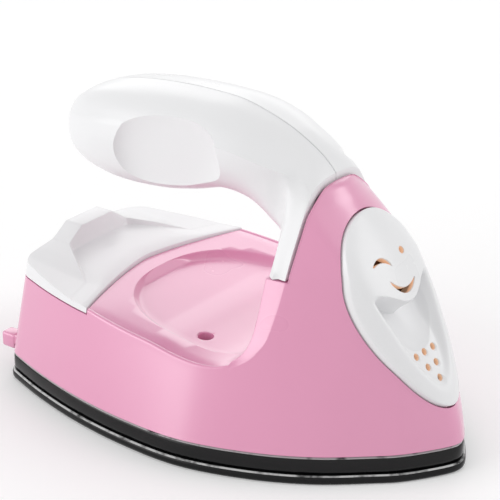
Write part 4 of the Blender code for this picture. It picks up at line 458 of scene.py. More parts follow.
def extrude_chain(bm, chain, points):
    """Pull a chain of vertices along and set where the new ones stand."""
    edges = [bm.edges.get(pair) or bm.edges.new(pair) for pair in zip(chain, chain[1:])]
    pulled = bmesh.ops.extrude_edge_only(bm, edges=edges)["geom"]
    fresh = {v for v in pulled if isinstance(v, bmesh.types.BMVert)}
    chain = [next(e.other_vert(v) for e in v.link_edges if e.other_vert(v) in fresh) for v in chain]
    for v, point in zip(chain, points):
        v.co = point
    return chain


def lower_row(share, sides, turns):
    """Half outline under the deck at a share of its height, with the rim's base point of each column."""
    def row_rise(x):
        """Height of the row at a place along the shell."""
        return (deck_rise((x - SOLE_REAR) / SOLE_LENGTH) + RIM_STEPS[0][1]) * share

    end = along(DECK_END)
    top = row_rise(end)
    rear = along(0.0) + SHELL_INSET + REAR_LEAN * row_rise(SOLE_REAR)
    corner = rear_corner(rear, SHELL_CORNER, row_rise(rear), SHELL_INSET, 7)[2:]
    start = corner[0]
    points = [(rear, y) for y in reversed(strip_ys(start[1])[0])]
    points += corner[1:]
    count = 52
    first = corner[-1][0]
    for k in range(1, count + 1):
        x = first + (end - first) * k / count
        points.append((x, wall_at(x, row_rise(x), SHELL_INSET)))
    row = [Vector((x, y, SHELL_FOOT + row_rise(x))) for x, y in points]
    rear_count = len(row)
    for x in front_places(end, top, sides, turns)[1:]:
        row.append(Vector((x, shell_half_width(x, top), SHELL_FOOT + top)))
    row[-1].y = 0.0
    return row, rear_count


def front_places(wall, rise, sides, turns):
    """Places of the columns from the saddle wall to the nose at a height."""
    nose = nose_at(rise)
    if rise > SHELF_RISE:
        room = min(1.0, (nose - wall) / 0.004)
        crease = [wall + room * step for step in (0.00035, 0.0006, 0.0009)]
    else:
        band = max(along(read_curve(BAND_CURVE, rise)), wall + 0.0007)
        crease = [band - 0.0002, band, band + 0.0002]
    return [wall] + crease + nose_places(crease[-1], rise, 0.0, sides, turns)[1:]


def band_width(x, rise):
    """Half width on the sloping band between the saddle wall and the band's front edge."""
    front = along(read_curve(BAND_CURVE, rise))
    depth = BAND_DEPTH * min(max((rise - BAND_CURVE[0][0]) / (BAND_FULL_RISE - BAND_CURVE[0][0]), 0.0), 1.0)
    rear = along(DECK_END)
    outer = wall_at(front, rise, SHELL_INSET)
    inner = wall_at(rear, rise, SHELL_INSET) - depth
    return outer + (inner - outer) * (front - x) / (front - rear)


def upper_row(rise, sides, turns):
    """Half outline of the hump at a height, from the saddle wall to the nose."""
    on_collar = rise > SHELF_RISE
    wall = along(COLLAR_SHARE) if on_collar else along(read_curve(WALL_CURVE, rise))
    row = []
    for k, x in enumerate(front_places(wall, rise, sides, turns)):
        y = shell_half_width(x, rise)
        if not on_collar and k < 2:
            y = min(y, band_width(x, rise))
        row.append(Vector((x, y, SHELL_FOOT + rise)))
    row[-1].y = 0.0
    return row


def build_shell_form(sides=18, turns=16):
    """Closed outer form of the shell."""
    bm = bmesh.new()
    rows = 14
    first, rear_count = lower_row(0.0, sides, turns)
    chain = [bm.verts.new(point) for point in first]
    foot = chain
    for k in range(1, rows + 1):
        share = k / rows
        points, _ = lower_row(share, sides, turns)
        chain = extrude_chain(bm, chain, points)
    # lift the heel's top edge to the lip that runs round to it
    heel_count = len(RIM_STEPS) + DECK_STRIPS
    for v, point in zip(chain[:heel_count], reversed(rim_strip(chain[heel_count - 1].co.copy(), 1.0))):
        v.co.z = point.z - RIM_STEPS[0][1]
    rim = chain[heel_count - 1:rear_count]
    lips = [1.0] * len(rim)
    chain = chain[rear_count - 1:]
    low, high = SHELL_RISE * 0.95, SHELL_RISE * MOUND_TOP_SHARE
    for _ in range(40):
        middle = (low + high) / 2
        if nose_at(middle) > along(COLLAR_SHARE):
            low = middle
        else:
            high = middle
    top = low
    rises = list(UPPER_RISES)
    start = SHELF_RISE + 0.00002
    count = 34
    rises += [start + (top - start) * (1 - (1 - k / count) ** 1.9) for k in range(count + 1)]
    for rise in rises:
        points = upper_row(rise, sides, turns)
        chain = extrude_chain(bm, chain, points)
        rim.append(chain[0])
        lips.append(max(0.0, 1.0 - (rise - UPPER_RISES[0]) / 0.0030))
    bases = []
    for v, lip in zip(rim, lips):
        base = v.co.copy()
        base.z -= RIM_STEPS[0][1] * lip
        bases.append(base)
    strips = [rim_strip(base, lip) for base, lip in zip(bases, lips)]
    for v, strip in zip(rim, strips):
        v.co = strip[0]
    for k in range(1, len(strips[0])):
        rim = extrude_chain(bm, rim, [strip[k] for strip in strips])
    bmesh.ops.remove_doubles(bm, verts=bm.verts, dist=2e-6)
    bmesh.ops.mirror(bm, geom=bm.verts[:] + bm.edges[:] + bm.faces[:], axis="Y", merge_dist=2e-6)
    bmesh.ops.remove_doubles(bm, verts=bm.verts, dist=2e-6)
    open_edges = [e for e in bm.edges if len(e.link_faces) == 1]
    bmesh.ops.holes_fill(bm, edges=open_edges, sides=0)
    bmesh.ops.dissolve_degenerate(bm, edges=bm.edges, dist=1e-6)
    bmesh.ops.recalc_face_normals(bm, faces=bm.faces)
    return bm


def carve(piece, tool, operation="DIFFERENCE", keep=False):
    """Cut a tool, an object or a bmesh, out of a piece, or join the two, and leave plain mesh behind."""
    if isinstance(tool, bmesh.types.BMesh):
        tool = make_tool(tool)
    modifier = piece.modifiers.new("carve", "BOOLEAN")
    modifier.operation = operation
    modifier.solver = "EXACT"
    modifier.object = tool
    graph = bpy.context.evaluated_depsgraph_get()
    old = piece.data
    piece.data = bpy.data.meshes.new_from_object(piece.evaluated_get(graph))
    piece.modifiers.clear()
    piece.data.name = piece.name
    bpy.data.meshes.remove(old)
    if not keep:
        bpy.data.objects.remove(tool)


def make_tool(bm):
    """Cutting form that is gone once it has been used."""
    mesh = bpy.data.meshes.new("tool")
    bm.to_mesh(mesh)
    bm.free()
    tool = bpy.data.objects.new("tool", mesh)
    bpy.context.scene.collection.objects.link(tool)
    return tool


def make_prism(outline, y_low, y_high):
    """Prism of a side outline, given as places in X and Z, run across the press."""
    return pull_rings([[(x, y, z) for x, z in outline] for y in (y_low, y_high)])


def make_box(low, high, bevel=0.0, segments=2):
    """Block between two corners, its edges rounded where asked."""
    bm = bmesh.new()
    bmesh.ops.create_cube(bm, size=1.0)
    bmesh.ops.scale(bm, vec=[b - a for a, b in zip(low, high)], verts=bm.verts)
    bmesh.ops.translate(bm, vec=[(a + b) / 2 for a, b in zip(low, high)], verts=bm.verts)
    if bevel:
        bmesh.ops.bevel(
            bm, geom=bm.edges[:], offset=bevel, segments=segments, profile=0.5, affect="EDGES", material=-1)
    return bm


def turn_profile(bm, profile, foot, axis, steps=48):
    """Spin a profile of radius and height round an axis that stands on a foot, into a bmesh."""
    spun = bmesh.new()
    points = [spun.verts.new((radius, 0.0, height)) for radius, height in profile]
    for pair in zip(points, points[1:]):
        spun.edges.new(pair)
    bmesh.ops.spin(
        spun, geom=spun.verts[:] + spun.edges[:], cent=(0, 0, 0), axis=(0, 0, 1),
        angle=math.tau, steps=steps, use_merge=True)
    bmesh.ops.remove_doubles(spun, verts=spun.verts, dist=1e-6)
    turn = Vector(axis).to_track_quat("Z", "Y").to_matrix().to_4x4()
    bmesh.ops.transform(spun, matrix=Matrix.Translation(foot) @ turn, verts=spun.verts)
    bmesh.ops.recalc_face_normals(spun, faces=spun.faces)
    mesh = bpy.data.meshes.new("turned")
    spun.to_mesh(mesh)
    spun.free()
    bm.from_mesh(mesh)
    bpy.data.meshes.remove(mesh)
    return bm


def make_well(foot, axis, radius, depth, mouth=0.0, flare=0.0, reach=0.003, steps=40):
    """Round hole from a floor outwards, flared at its mouth; depth runs from the floor to the surface."""
    profile = [(0.0, 0.0), (radius, 0.0), (radius, depth - mouth)]
    if flare:
        profile += [(radius + flare * 0.35, depth - mouth * 0.3), (radius + flare, depth)]
        profile += [(radius + flare + mouth + reach, depth + reach), (0.0, depth + reach)]
    else:
        profile += [(radius, depth + reach), (0.0, depth + reach)]
    return turn_profile(bmesh.new(), profile, foot, axis, steps)


# The saddle's dish, its two screw wells, the hollow inside, the panel's seat and the heel cover's ledge
DISH_REAR_SHARE = 0.243
DISH_END_SHARE = 0.598
DISH_LENGTH = 0.047
DISH_WIDTH = 0.0440
DISH_DEPTH = 0.0017
DISH_ROUND = 0.85
DISH_SOFT = 0.0003
DISH_STRIPS = 14
WELL_SHARE = 0.487
WELL_SPREAD = 0.0165
WELL_RADIUS = 0.00172
WELL_MOUTH = 0.00012
POST_RADIUS = 0.0036
POST_LENGTH = 0.03
POST_MIDDLE = 0.0199
HEAD_FLOOR = 0.0125
SCREW_BORE = 0.0012
COVER_SEAT = SHELL_FOOT + 0.0179
COVER_GAP = 0.0003
COVER_FRONT_SHARE = 0.2
COVER_FRONT_SWEEP = 0.0065
COVER_FRONT_REACH = 0.0277
LEDGE_UNDER = COVER_SEAT - 0.0023
SADDLE_WALL = 0.0032
HIGH = 0.080
PANEL_TOP = Vector((along(0.753), 0.0, SHELL_FOOT + 0.865 * SHELL_RISE))
PANEL_BOTTOM = Vector((along(0.977), 0.0, SHELL_FOOT + 0.158 * SHELL_RISE))
PANEL_DOWN = (PANEL_BOTTOM - PANEL_TOP).normalized()
PANEL_OUT = Vector((-PANEL_DOWN.z, 0.0, PANEL_DOWN.x))
PANEL_LENGTH = (PANEL_BOTTOM - PANEL_TOP).length
PANEL_WIDTH = 0.0255
PANEL_EGG = 0.25
PANEL_SEAT = 0.0019
PANEL_GAP = 0.0004
SEAT_REACH = 0.0063
WINDOW_SHARE = 0.9
WINDOW_GAP = 0.0003
WINDOW_REACH = 0.012
PANEL_CLEAR = 0.006


def deck_z(share):
    """Height of the saddle's deck over the floor."""
    return SHELL_FOOT + deck_rise(share)


def dish_sink(x):
    """Depth of the dish's floor under the deck at a place."""
    rear, end = along(DISH_REAR_SHARE), along(DISH_END_SHARE)
    return DISH_DEPTH * min((x - rear) / DISH_DEPTH, (end - x) / (end - rear) * 1.7, 1.0)


def dish_tool():
    """Oval dish whose floor follows the deck and runs out before the wall, with a softened rim."""
    rear, end = along(DISH_REAR_SHARE), along(DISH_END_SHARE)
    middle = rear + DISH_LENGTH / 2
    rings = []
    count = 110
    for k in range(1, count):
        a = math.pi * k / count
        x = middle - DISH_LENGTH / 2 * math.copysign(abs(math.cos(a)) ** DISH_ROUND, math.cos(a))
        if x > end:
            break
        half = DISH_WIDTH / 2 * math.sin(a) ** DISH_ROUND
        deck = deck_z((x - SOLE_REAR) / SOLE_LENGTH)
        sink = dish_sink(x)
        side = min(sink, half * 0.5)
        soft = min(DISH_SOFT, sink * 0.4)
        floor_half = half - side * 1.45
        profile = [(floor_half * n / DISH_STRIPS, sink) for n in range(1, DISH_STRIPS, 2)]
        profile += [
            (floor_half, sink), (half - side * 1.1, sink * 0.94), (half - side * 0.85, sink * 0.8),
            (half - soft, soft * 1.3), (half, soft * 0.35), (half + soft, -0.00005), (half + soft * 2, -0.0002)]
        points = [(x, y, deck - drop) for y, drop in profile] + [(x, half + soft * 2, deck + 0.004)]
        rings.append([(x, -y, z) for x, y, z in points] + [(x, y, z) for x, y, z in reversed(points)])
    return pull_rings(rings)


def cover_front(y, setback=0.0):
    """Front edge of the rear cover across the deck."""
    return along(COVER_FRONT_SHARE) + COVER_FRONT_SWEEP * (abs(y) / COVER_FRONT_REACH) ** 1.4 - setback


def panel_point(place, across, height):
    """Point on the front panel: distance down it, distance across it and height out of it."""
    return PANEL_TOP + PANEL_DOWN * place + Vector((0.0, across, 0.0)) + PANEL_OUT * height


def panel_ring(scale, grow, height_of, count=288):
    """Egg outline of the panel, scaled and grown, at the heights that a function gives."""
    ring = []
    for k in range(count):
        a = math.tau * k / count
        place = PANEL_LENGTH / 2 - (PANEL_LENGTH / 2 * scale + grow) * math.cos(a)
        across = (PANEL_WIDTH / 2 * scale + grow) * math.sin(a) * (1 + PANEL_EGG * math.cos(a))
        across = across / (1 + PANEL_EGG * PANEL_EGG / 2)
        ring.append(panel_point(place, across, height_of(place, across)))
    return ring


def egg_prism(grow, low, high, scale=1.0):
    """Straight prism of the panel's outline between two heights over its plane."""
    return pull_rings([panel_ring(scale, grow, lambda place, across: height, 96) for height in (low, high)])


def cavity_roof():
    """Side outline of what stays solid over the hollow: deck, saddle wall and the handle's socket."""
    outline = [(along(-0.2), HIGH), (along(-0.2), LEDGE_UNDER), (along(0.3), LEDGE_UNDER)]
    for share in (0.36, 0.41, 0.455, 0.5, 0.545, 0.575, 0.6, 0.615):
        push = SADDLE_WALL * max(share - 0.545, 0.0) / (0.631 - 0.545)
        outline.append((along(share) + push, deck_z(share) - SHELL_WALL))
    for rise, share in ((0.0178, 0.631), (0.0198, 0.6395), (0.0225, 0.6445), (0.0285, 0.647), (0.0339, 0.647)):
        outline.append((along(share) + SADDLE_WALL, SHELL_FOOT + rise))
    outline += [(along(0.6935) - 0.006, LEG_END - 0.0003), (along(0.6945) - 0.006, HIGH)]
    return make_prism(outline, -0.045, 0.045)


pink_gloss = skin_material(
    "pink_gloss", (0.73, 0.27, 0.45), (0.76, 0.29, 0.47), 0.30, 0.03, 0.000004, (900.0, 45.0, 500.0), 0.05, coat=1.0,
    coat_roughness=0.24, coat_ior=1.7)
shell = make_piece("gloss_shell", build_shell_form())
carve(shell, dish_tool())
cavity = make_tool(mound(SHELL_WALL, 0.0005, 14, 8, 8))
carve(cavity, cavity_roof())
wells = [Vector((along(WELL_SHARE), side * WELL_SPREAD, 0.0)) for side in (-1, 1)]
for well in wells:
    post = bmesh.new()
    bmesh.ops.create_cone(
        post, cap_ends=True, segments=32, radius1=POST_RADIUS, radius2=POST_RADIUS, depth=POST_LENGTH,
        matrix=Matrix.Translation((well.x, well.y, POST_MIDDLE)))
    carve(cavity, post)
carve(shell, cavity)
seat = make_tool(egg_prism(PANEL_GAP, -SEAT_REACH, PANEL_CLEAR))
carve(seat, mound(PANEL_SEAT, None, 20, 14, 10))
carve(shell, seat)
carve(shell, egg_prism(WINDOW_GAP, -WINDOW_REACH, PANEL_CLEAR, WINDOW_SHARE))
for well in wells:
    floor = Vector((well.x, well.y, HEAD_FLOOR))
    depth = deck_z(WELL_SHARE) - dish_sink(well.x) - HEAD_FLOOR
    carve(shell, make_well(floor, (0, 0, 1), WELL_RADIUS, depth, WELL_MOUTH, WELL_MOUTH))
    carve(shell, make_well(Vector((well.x, well.y, 0.0)), (0, 0, 1), SCREW_BORE, HEAD_FLOOR, reach=0.002))
front = [(cover_front(-0.04 + 0.002 * k) + COVER_GAP, -0.04 + 0.002 * k) for k in range(41)]
outline = front + [(along(-0.1), 0.04), (along(-0.1), -0.04)]
carve(shell, pull_rings([[(x, y, z) for x, y in outline] for z in (COVER_SEAT - COVER_GAP, 0.035)]))

# The two heel pegs, moulded with the shell, stand off its heel
PEG_REACH = 0.0040
PEG_WIDTH = 0.0034
PEG_SPREAD = 0.0203
PEG_FOOT = SHELL_FOOT - 0.0013
PEG_TOP = PEG_FOOT + 0.0036
PEG_ROUND = 0.0006
PEG_ROOT = 0.0002
for side in (-1, 1):
    low = (SOLE_REAR - PEG_REACH, side * PEG_SPREAD - PEG_WIDTH / 2, PEG_FOOT)
    high = (SOLE_REAR, side * PEG_SPREAD + PEG_WIDTH / 2, PEG_TOP)
    root = make_tool(make_box((low[0] + 0.0015, low[1] + PEG_ROOT, SHELL_FOOT + PEG_ROOT),
                              (SOLE_REAR + 0.0017, high[1] - PEG_ROOT, PEG_TOP - PEG_ROOT)))
    carve(root, make_box(low, high, PEG_ROUND, 3), "UNION")
    carve(shell, root, "UNION")


def finish_piece(piece, material, slot, *stands_for, sharp_angle=35.0):
    """Smooth shading with its sharp edges kept, its material, and its place on the press."""
    piece.data.materials.clear()
    piece.data.materials.append(material)
    piece.data.shade_smooth()
    piece.data.set_sharp_from_angle(angle=math.radians(sharp_angle))
    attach(piece, "root")
    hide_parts(*stands_for)


finish_piece(shell, pink_gloss, "shell_gloss", "body_shell")

# Rear cover: white ABS lid over the heel, with a ramp that rises to the hump the cord leaves by.
# Its sides carry on the lean of the shell, and two screws hold it from below the ledge.
COVER_WALL = 0.0018
COVER_CREST = 0.0080
COVER_HALF_WIDTH = 0.0310
COVER_EDGE = 0.0003
COVER_UNDER = COVER_SEAT - 0.003
# Across the half width: place of the step, then heights of its foot, its top and the rear edge
COVER_SHARES = (
    (0.0, 0.072, 0.36, 0.95, 0.95), (0.17, 0.072, 0.36, 0.95, 0.93), (0.31, 0.072, 0.35, 0.57, 0.58),
    (0.45, 0.13, 0.31, 0.42, 0.54), (0.59, 0.187, 0.2, 0.21, 0.49), (0.74, 0.2, 0.17, 0.18, 0.46),
    (1.0, 0.225, 0.12, 0.13, 0.44),
)


def cover_sizes(y):
    """Place of the step and the heights of its foot, its top and the rear edge, across the cover."""
    share = min(abs(y) / COVER_HALF_WIDTH, 1.0)
    for row, after in zip(COVER_SHARES, COVER_SHARES[1:]):
        if share <= after[0]:
            t = (share - row[0]) / (after[0] - row[0])
            return [a + (b - a) * t for a, b in zip(row[1:], after[1:])]
    return list(COVER_SHARES[-1][1:])


def cover_form(lower, setback, foot):
    """Top of the cover run down to a foot, in sections across the press, its front edge rounded."""
    rings = []
    count = 120
    for k in range(count + 1):
        y = COVER_HALF_WIDTH * (2 * k / count - 1)
        step_share, low, high, rear = cover_sizes(y)
        front = cover_front(y, setback)
        edge = COVER_SEAT + COVER_CREST * (0.1 + 0.17 * (1 - (y / COVER_HALF_WIDTH) ** 2)) - lower
        step = min(along(step_share), front - COVER_WALL)
        far = along(-0.05)
        low_z, high_z, rear_z = (COVER_SEAT + COVER_CREST * z - lower for z in (low, high, rear))
        soft = COVER_EDGE
        points = [(front, foot), (front, edge - soft), (front - soft * 0.3, edge - soft * 0.3), (front - soft, edge)]
        for t in (0.35, 0.7, 0.95):
            points.append((front - soft + (step - front + soft) * t, edge + (low_z - edge) * t))
        jump = high_z - low_z
        for t, lift in ((0.0, 0.06), (0.25, 0.22), (0.5, 0.55), (0.75, 0.85), (1.0, 0.97)):
            points.append((step - COVER_WALL * 0.5 * t, low_z + jump * lift))
        points.append((step - COVER_WALL * 0.8, high_z))
        for t in (0.25, 0.5, 0.75, 1.0):
            points.append((
                step - COVER_WALL * 0.8 + (far - step + COVER_WALL * 0.8) * t, high_z + (rear_z - high_z) * t))
        points.append((far, foot))
        last = len(points) - 1
        rings.append([(x, y, max(z, foot + 0.0001 * (0 < n < last))) for n, (x, z) in enumerate(points)])
    return pull_rings(rings)


white_gloss = skin_material(
    "white_gloss", (0.81, 0.81, 0.82), (0.84, 0.84, 0.85), 0.30, 0.03, 0.000004, (900.0, 40.0, 500.0), 0.05, coat=0.2,
    coat_roughness=0.24, specular=0.35)
cover = make_piece("heel_cover", cover_form(0.0, 0.0, COVER_SEAT))
carve(cover, mound(0.0, None, 60, 34, 8, 0.9), "INTERSECT")
inside = make_tool(cover_form(COVER_WALL, COVER_WALL, COVER_UNDER))
carve(inside, mound(COVER_WALL, None, 30, 20, 8, 0.9), "INTERSECT")
COVER_SCREW_X = along(0.112)
COVER_SCREW_SPREAD = 0.0135
COVER_BOSS_RADIUS = 0.0021
COVER_BORE_DEPTH = 0.0025
for side in (-1, 1):
    foot = Vector((COVER_SCREW_X, side * COVER_SCREW_SPREAD, COVER_SEAT))
    carve(inside, make_well(foot, (0, 0, 1), COVER_BOSS_RADIUS, COVER_CREST, steps=24))
carve(cover, inside)
for side in (-1, 1):
    foot = Vector((COVER_SCREW_X, side * COVER_SCREW_SPREAD, COVER_UNDER))
    carve(cover, make_well(foot, (0, 0, 1), SCREW_BORE, COVER_BORE_DEPTH, steps=24))
GLAND_Z = COVER_SEAT + 0.0034
GLAND_X = along(0.0) + SHELL_INSET + REAR_LEAN * (GLAND_Z - SHELL_FOOT)
GLAND_HOLE_RADIUS = 0.0025
GLAND_HOLE_DEPTH = 0.0020
foot = Vector((GLAND_X + 0.0021, 0, GLAND_Z))
carve(cover, make_well(foot, (-1, 0, 0), GLAND_HOLE_RADIUS, GLAND_HOLE_DEPTH, steps=48))
finish_piece(cover, white_gloss, "white_gloss", "rear_cover")

# Cord gland: a black rubber bush snapped into the cover, ribbed on its collar.
# Its bore is open, because the photograph shows no cord.
GLAND_PROFILE = (
    (0.0015, 0.0006), (0.00165, 0.00092), (0.0019, 0.0010), (0.0021, 0.0009), (0.00225, 0.00098), (0.0026, 0.0010),
    (0.0028, 0.00088), (0.0029, 0.00085), (0.0030, 0.0006), (0.0030, 0.00025), (0.0029, 0.00005), (0.0028, 0.0),
    (0.0022, 0.0), (0.0022, -0.0020), (0.0024, -0.0023), (0.0024, -0.0026), (0.0021, -0.0031), (0.0021, -0.0036),
    (0.0020, -0.0038), (0.0020, -0.0043), (0.0018, -0.0050), (0.0015, -0.0050), (0.0015, 0.0006),
)
GLAND_STAND = 0.0006
gland_rubber = skin_material(
    "gland_rubber", (0.022, 0.022, 0.022), (0.034, 0.034, 0.034), 0.62, 0.06, 0.00003, (2200.0, 160.0, 900.0), 0.1)
gland = make_piece("cord_bush", turn_profile(
    bmesh.new(), GLAND_PROFILE, Vector((GLAND_X - GLAND_STAND, 0, GLAND_Z)), (-1, 0, 0), 64))
finish_piece(gland, gland_rubber, "gland_rubber", "cord_gland")

# Screws that can be seen: zinc-plated pan heads with a cross recess, cold formed.
# Two stand in the saddle's wells and three in the far side of the handle.
SCREW_PROFILE = (
    (0.0, 0.00120), (0.0006, 0.00118), (0.0010, 0.00108), (0.00132, 0.00088), (0.00152, 0.00058), (0.0016, 0.00028),
    (0.00157, 0.00006), (0.0015, 0.0), (0.0009, 0.0),
)
RECESS_LENGTH = 0.0017
RECESS_WIDTH = 0.00032
RECESS_RISE = 0.00105
THREAD_PITCH = 0.0004
HEAD_LIFT = 0.0003
SADDLE_SCREW_LENGTH = 0.0114
GRIP_SCREW_LENGTH = 0.0110


def make_screw(name, seat, axis, length):
    """Pan head over a threaded shaft, with its cross recess."""
    profile = list(SCREW_PROFILE)
    depth = 0.0006
    while depth < length - 0.0012:
        profile += [(0.00076, -depth), (0.0009, -depth - 0.0002)]
        depth += THREAD_PITCH
    profile += [(0.0006, -length + 0.0004), (0.0, -length)]
    bm = turn_profile(bmesh.new(), profile, Vector((0, 0, 0)), (0, 0, 1), 32)
    bmesh.ops.recalc_face_normals(bm, faces=bm.faces)
    screw = make_piece(name, bm)
    for turn in (0, 1):
        slot = bmesh.new()
        bmesh.ops.create_cone(
            slot, cap_ends=True, segments=4, radius1=0.0002, radius2=RECESS_LENGTH / math.sqrt(2), depth=0.0011,
            matrix=Matrix.Rotation(math.pi / 4, 4, "Z"))
        bmesh.ops.scale(slot, vec=(1.0, RECESS_WIDTH / RECESS_LENGTH, 1.0), verts=slot.verts)
        if turn:
            bmesh.ops.rotate(slot, cent=(0, 0, 0), matrix=Matrix.Rotation(math.pi / 2, 3, "Z"), verts=slot.verts)
        bmesh.ops.translate(slot, vec=(0, 0, RECESS_RISE), verts=slot.verts)
        carve(screw, slot)
    place = Matrix.Translation(seat) @ Vector(axis).to_track_quat("Z", "Y").to_matrix().to_4x4()
    screw.data.transform(place @ Matrix.Rotation(math.radians(27), 4, "Z"))
    return screw


HANDLE_LENGTH = 0.0730
HANDLE_WIDTH = 0.0284
HANDLE_DEPTH = 0.0294
HANDLE_TOP = 0.06969
HANDLE_REAR = along(0.0286)
HANDLE_SCREW_SHARES = ((0.14, 0.42), (0.66, 0.33), (0.80, 0.52))
HANDLE_SEAT = 0.0060
handle_screws = [
    (HANDLE_REAR + x * HANDLE_LENGTH, HANDLE_TOP - drop * HANDLE_DEPTH) for x, drop in HANDLE_SCREW_SHARES]
zinc_steel = skin_material(
    "zinc_steel", (0.60, 0.60, 0.58), (0.68, 0.67, 0.64), 0.30, 0.08, 0.00001, (3000.0, 300.0, 900.0), 0.1,
    metallic=1.0)
for k, well in enumerate(reversed(wells)):
    seat = Vector((well.x, well.y, HEAD_FLOOR + HEAD_LIFT))
    screw = make_screw("saddle_screw_%d" % (k + 1), seat, (0, 0, 1), SADDLE_SCREW_LENGTH)
    finish_piece(screw, zinc_steel, "steel", "body_screw_%d" % (k + 1))
for k, (x, z) in enumerate(handle_screws):
    seat = Vector((x, HANDLE_SEAT + HEAD_LIFT, z))
    screw = make_screw("grip_screw_%d" % (k + 1), seat, (0, 1, 0), GRIP_SCREW_LENGTH)
    finish_piece(screw, zinc_steel, "steel", "handle_screw_%d" % (k + 1))

# Handle: two white ABS shells that meet on the middle plane over ribs and bosses.
# The far one has the screw wells, and each side has an oval thumb rest with a flat floor.
HANDLE_WALL = 0.0022
GRIP_ROUND = 2.4
# Rear of the grip: place along the handle, top, bottom and half width
GRIP_SHARES = (
    (0.010, 0.357, 0.534, 0.225), (0.030, 0.276, 0.616, 0.437), (0.075, 0.187, 0.697, 0.676),
    (0.151, 0.105, 0.759, 0.859), (0.260, 0.044, 0.793, 0.972), (0.397, 0.010, 0.779, 1.0),
    (0.520, 0.003, 0.718, 0.986),
)
# Front of the grip: nine points from the top seam round the side to the bottom seam
NECK_SHARES = (
    (0.630, ((0.0, 0.017), (0.394, 0.034), (0.739, 0.099), (0.944, 0.221), (0.958, 0.35), (0.845, 0.48),
             (0.634, 0.582), (0.338, 0.639), (0.0, 0.656))),
    (0.726, ((0.0, 0.075), (0.373, 0.088), (0.704, 0.146), (0.930, 0.241), (0.887, 0.378), (0.768, 0.507),
             (0.577, 0.616), (0.310, 0.687), (0.0, 0.718))),
    (0.808, ((0.0, 0.148), (0.317, 0.167), (0.634, 0.228), (0.838, 0.299), (0.780, 0.430), (0.735, 0.568),
             (0.630, 0.704), (0.365, 0.799), (0.0, 0.833))),
    (0.870, ((0.0, 0.230), (0.282, 0.245), (0.535, 0.292), (0.704, 0.347), (0.690, 0.450), (0.718, 0.600),
             (0.768, 0.770), (0.563, 0.908), (0.0, 0.929))),
    (0.893, ((0.0, 0.267), (0.254, 0.279), (0.479, 0.320), (0.634, 0.381), (0.760, 0.534), (0.915, 0.711),
             (1.070, 0.857), (1.218, 1.0), (0.0, 1.0))),
    (0.9233, ((0.0, 0.3265), (0.246, 0.337), (0.465, 0.367), (0.599, 0.405), (0.746, 0.548), (0.923, 0.714),
              (1.070, 0.850), (1.225, 1.0), (0.0, 1.0))),
    (0.9560, ((0.0, 0.415), (0.246, 0.418), (0.444, 0.435), (0.613, 0.483), (0.732, 0.551), (0.923, 0.711),
              (1.063, 0.830), (1.232, 1.0), (0.0, 1.0))),
)
CREASE_POINT = 3
FOOT_POINT = 7
SEAM_GROOVE = 0.00022
SEAM_HALF = 0.00045
SEAM_GAP = 0.00012
THUMB_SIZE = (0.0284, 0.0262, 0.0076)
THUMB_DEPTH = 0.0034
THUMB_SHARE = 0.484
THUMB_DROP = 0.0116
THUMB_TILT = 1.5
THUMB_SWING = 4.0
THUMB_BACKING = 0.0015
COLLAR_GAP = 0.0006
COLLAR_ROUND = 0.00045
GRIP_BOSS_RADIUS = 0.0027
GRIP_WELL_RADIUS = 0.0019
TONGUE_SPREAD = 0.0075
TONGUE_HALF = 0.004
TONGUE_THICKNESS = 0.0024
TONGUE_DROP = 0.0095
TONGUE_SCREW_DROP = 0.0060


def rear_section(top, bottom, width, x):
    """Half section of the rounded rear of the grip, from its top seam to its bottom seam."""
    middle = (top + bottom) / 2
    points = []
    for k in range(9):
        a = math.pi * k / 8
        c = math.cos(a)
        y = width * abs(math.sin(a)) ** (2 / GRIP_ROUND)
        points.append(Vector((x, y, middle + (top - middle) * math.copysign(abs(c) ** (2 / GRIP_ROUND), c))))
    points[0].y = points[-1].y = 0.0
    return points


def curve_between(before, start, end, after, t):
    """Point of a smooth curve between two points, with their neighbours."""
    value = start * ((1 + 2 * t) * (1 - t) ** 2) + end * (t * t * (3 - 2 * t))
    return value + (end - before) / 2 * (t * (1 - t) ** 2) - (after - start) / 2 * (t * t * (1 - t))


def smooth_run(points, steps):
    """Run of points with new ones between them."""
    last = len(points) - 1
    out = []
    for k in range(last):
        before = points[k - 1] if k else points[0] * 2 - points[1]
        after = points[k + 2] if k + 2 <= last else points[-1] * 2 - points[-2]
        out += [curve_between(before, points[k], points[k + 1], after, n / steps) for n in range(steps)]
    return out + [points[-1]]


def smooth_section(points, steps, groove):
    """Half section refined between its crease and its foot, sunk a little at the seam."""
    ring = smooth_run(points[:CREASE_POINT + 1], steps)
    ring += smooth_run(points[CREASE_POINT:FOOT_POINT + 1], steps)[1:]
    ring += smooth_run(points[FOOT_POINT:], steps)[1:]
    if not groove:
        return ring
    middle = (ring[0] + ring[-1]) / 2
    ends = []
    for first, second in ((ring[0], ring[1]), (ring[-1], ring[-2])):
        share = min(SEAM_HALF / max((second - first).length, 1e-6), 0.5)
        inner = first + (middle - first).normalized() * SEAM_GROOVE
        ends.append([inner, first + (second - first) * share * 0.55, first + (second - first) * share])
    return ends[0] + ring[1:-1] + list(reversed(ends[1]))


def section_between(sections, k, t):
    """Section between two chosen ones, smooth along the handle."""
    last = len(sections) - 1
    before, first = sections[max(k - 1, 0)], sections[k]
    second, after = sections[k + 1], sections[min(k + 2, last)]
    span = second[0].x - first[0].x
    out = []
    for p, a, b, q in zip(before, first, second, after):
        value = a * ((1 + 2 * t) * (1 - t) ** 2) + b * (t * t * (3 - 2 * t))
        value += (b - p) / (b.x - p.x) * (span * t * (1 - t) ** 2)
        out.append(value - (q - a) / (q.x - a.x) * (span * t * t * (1 - t)))
    return out


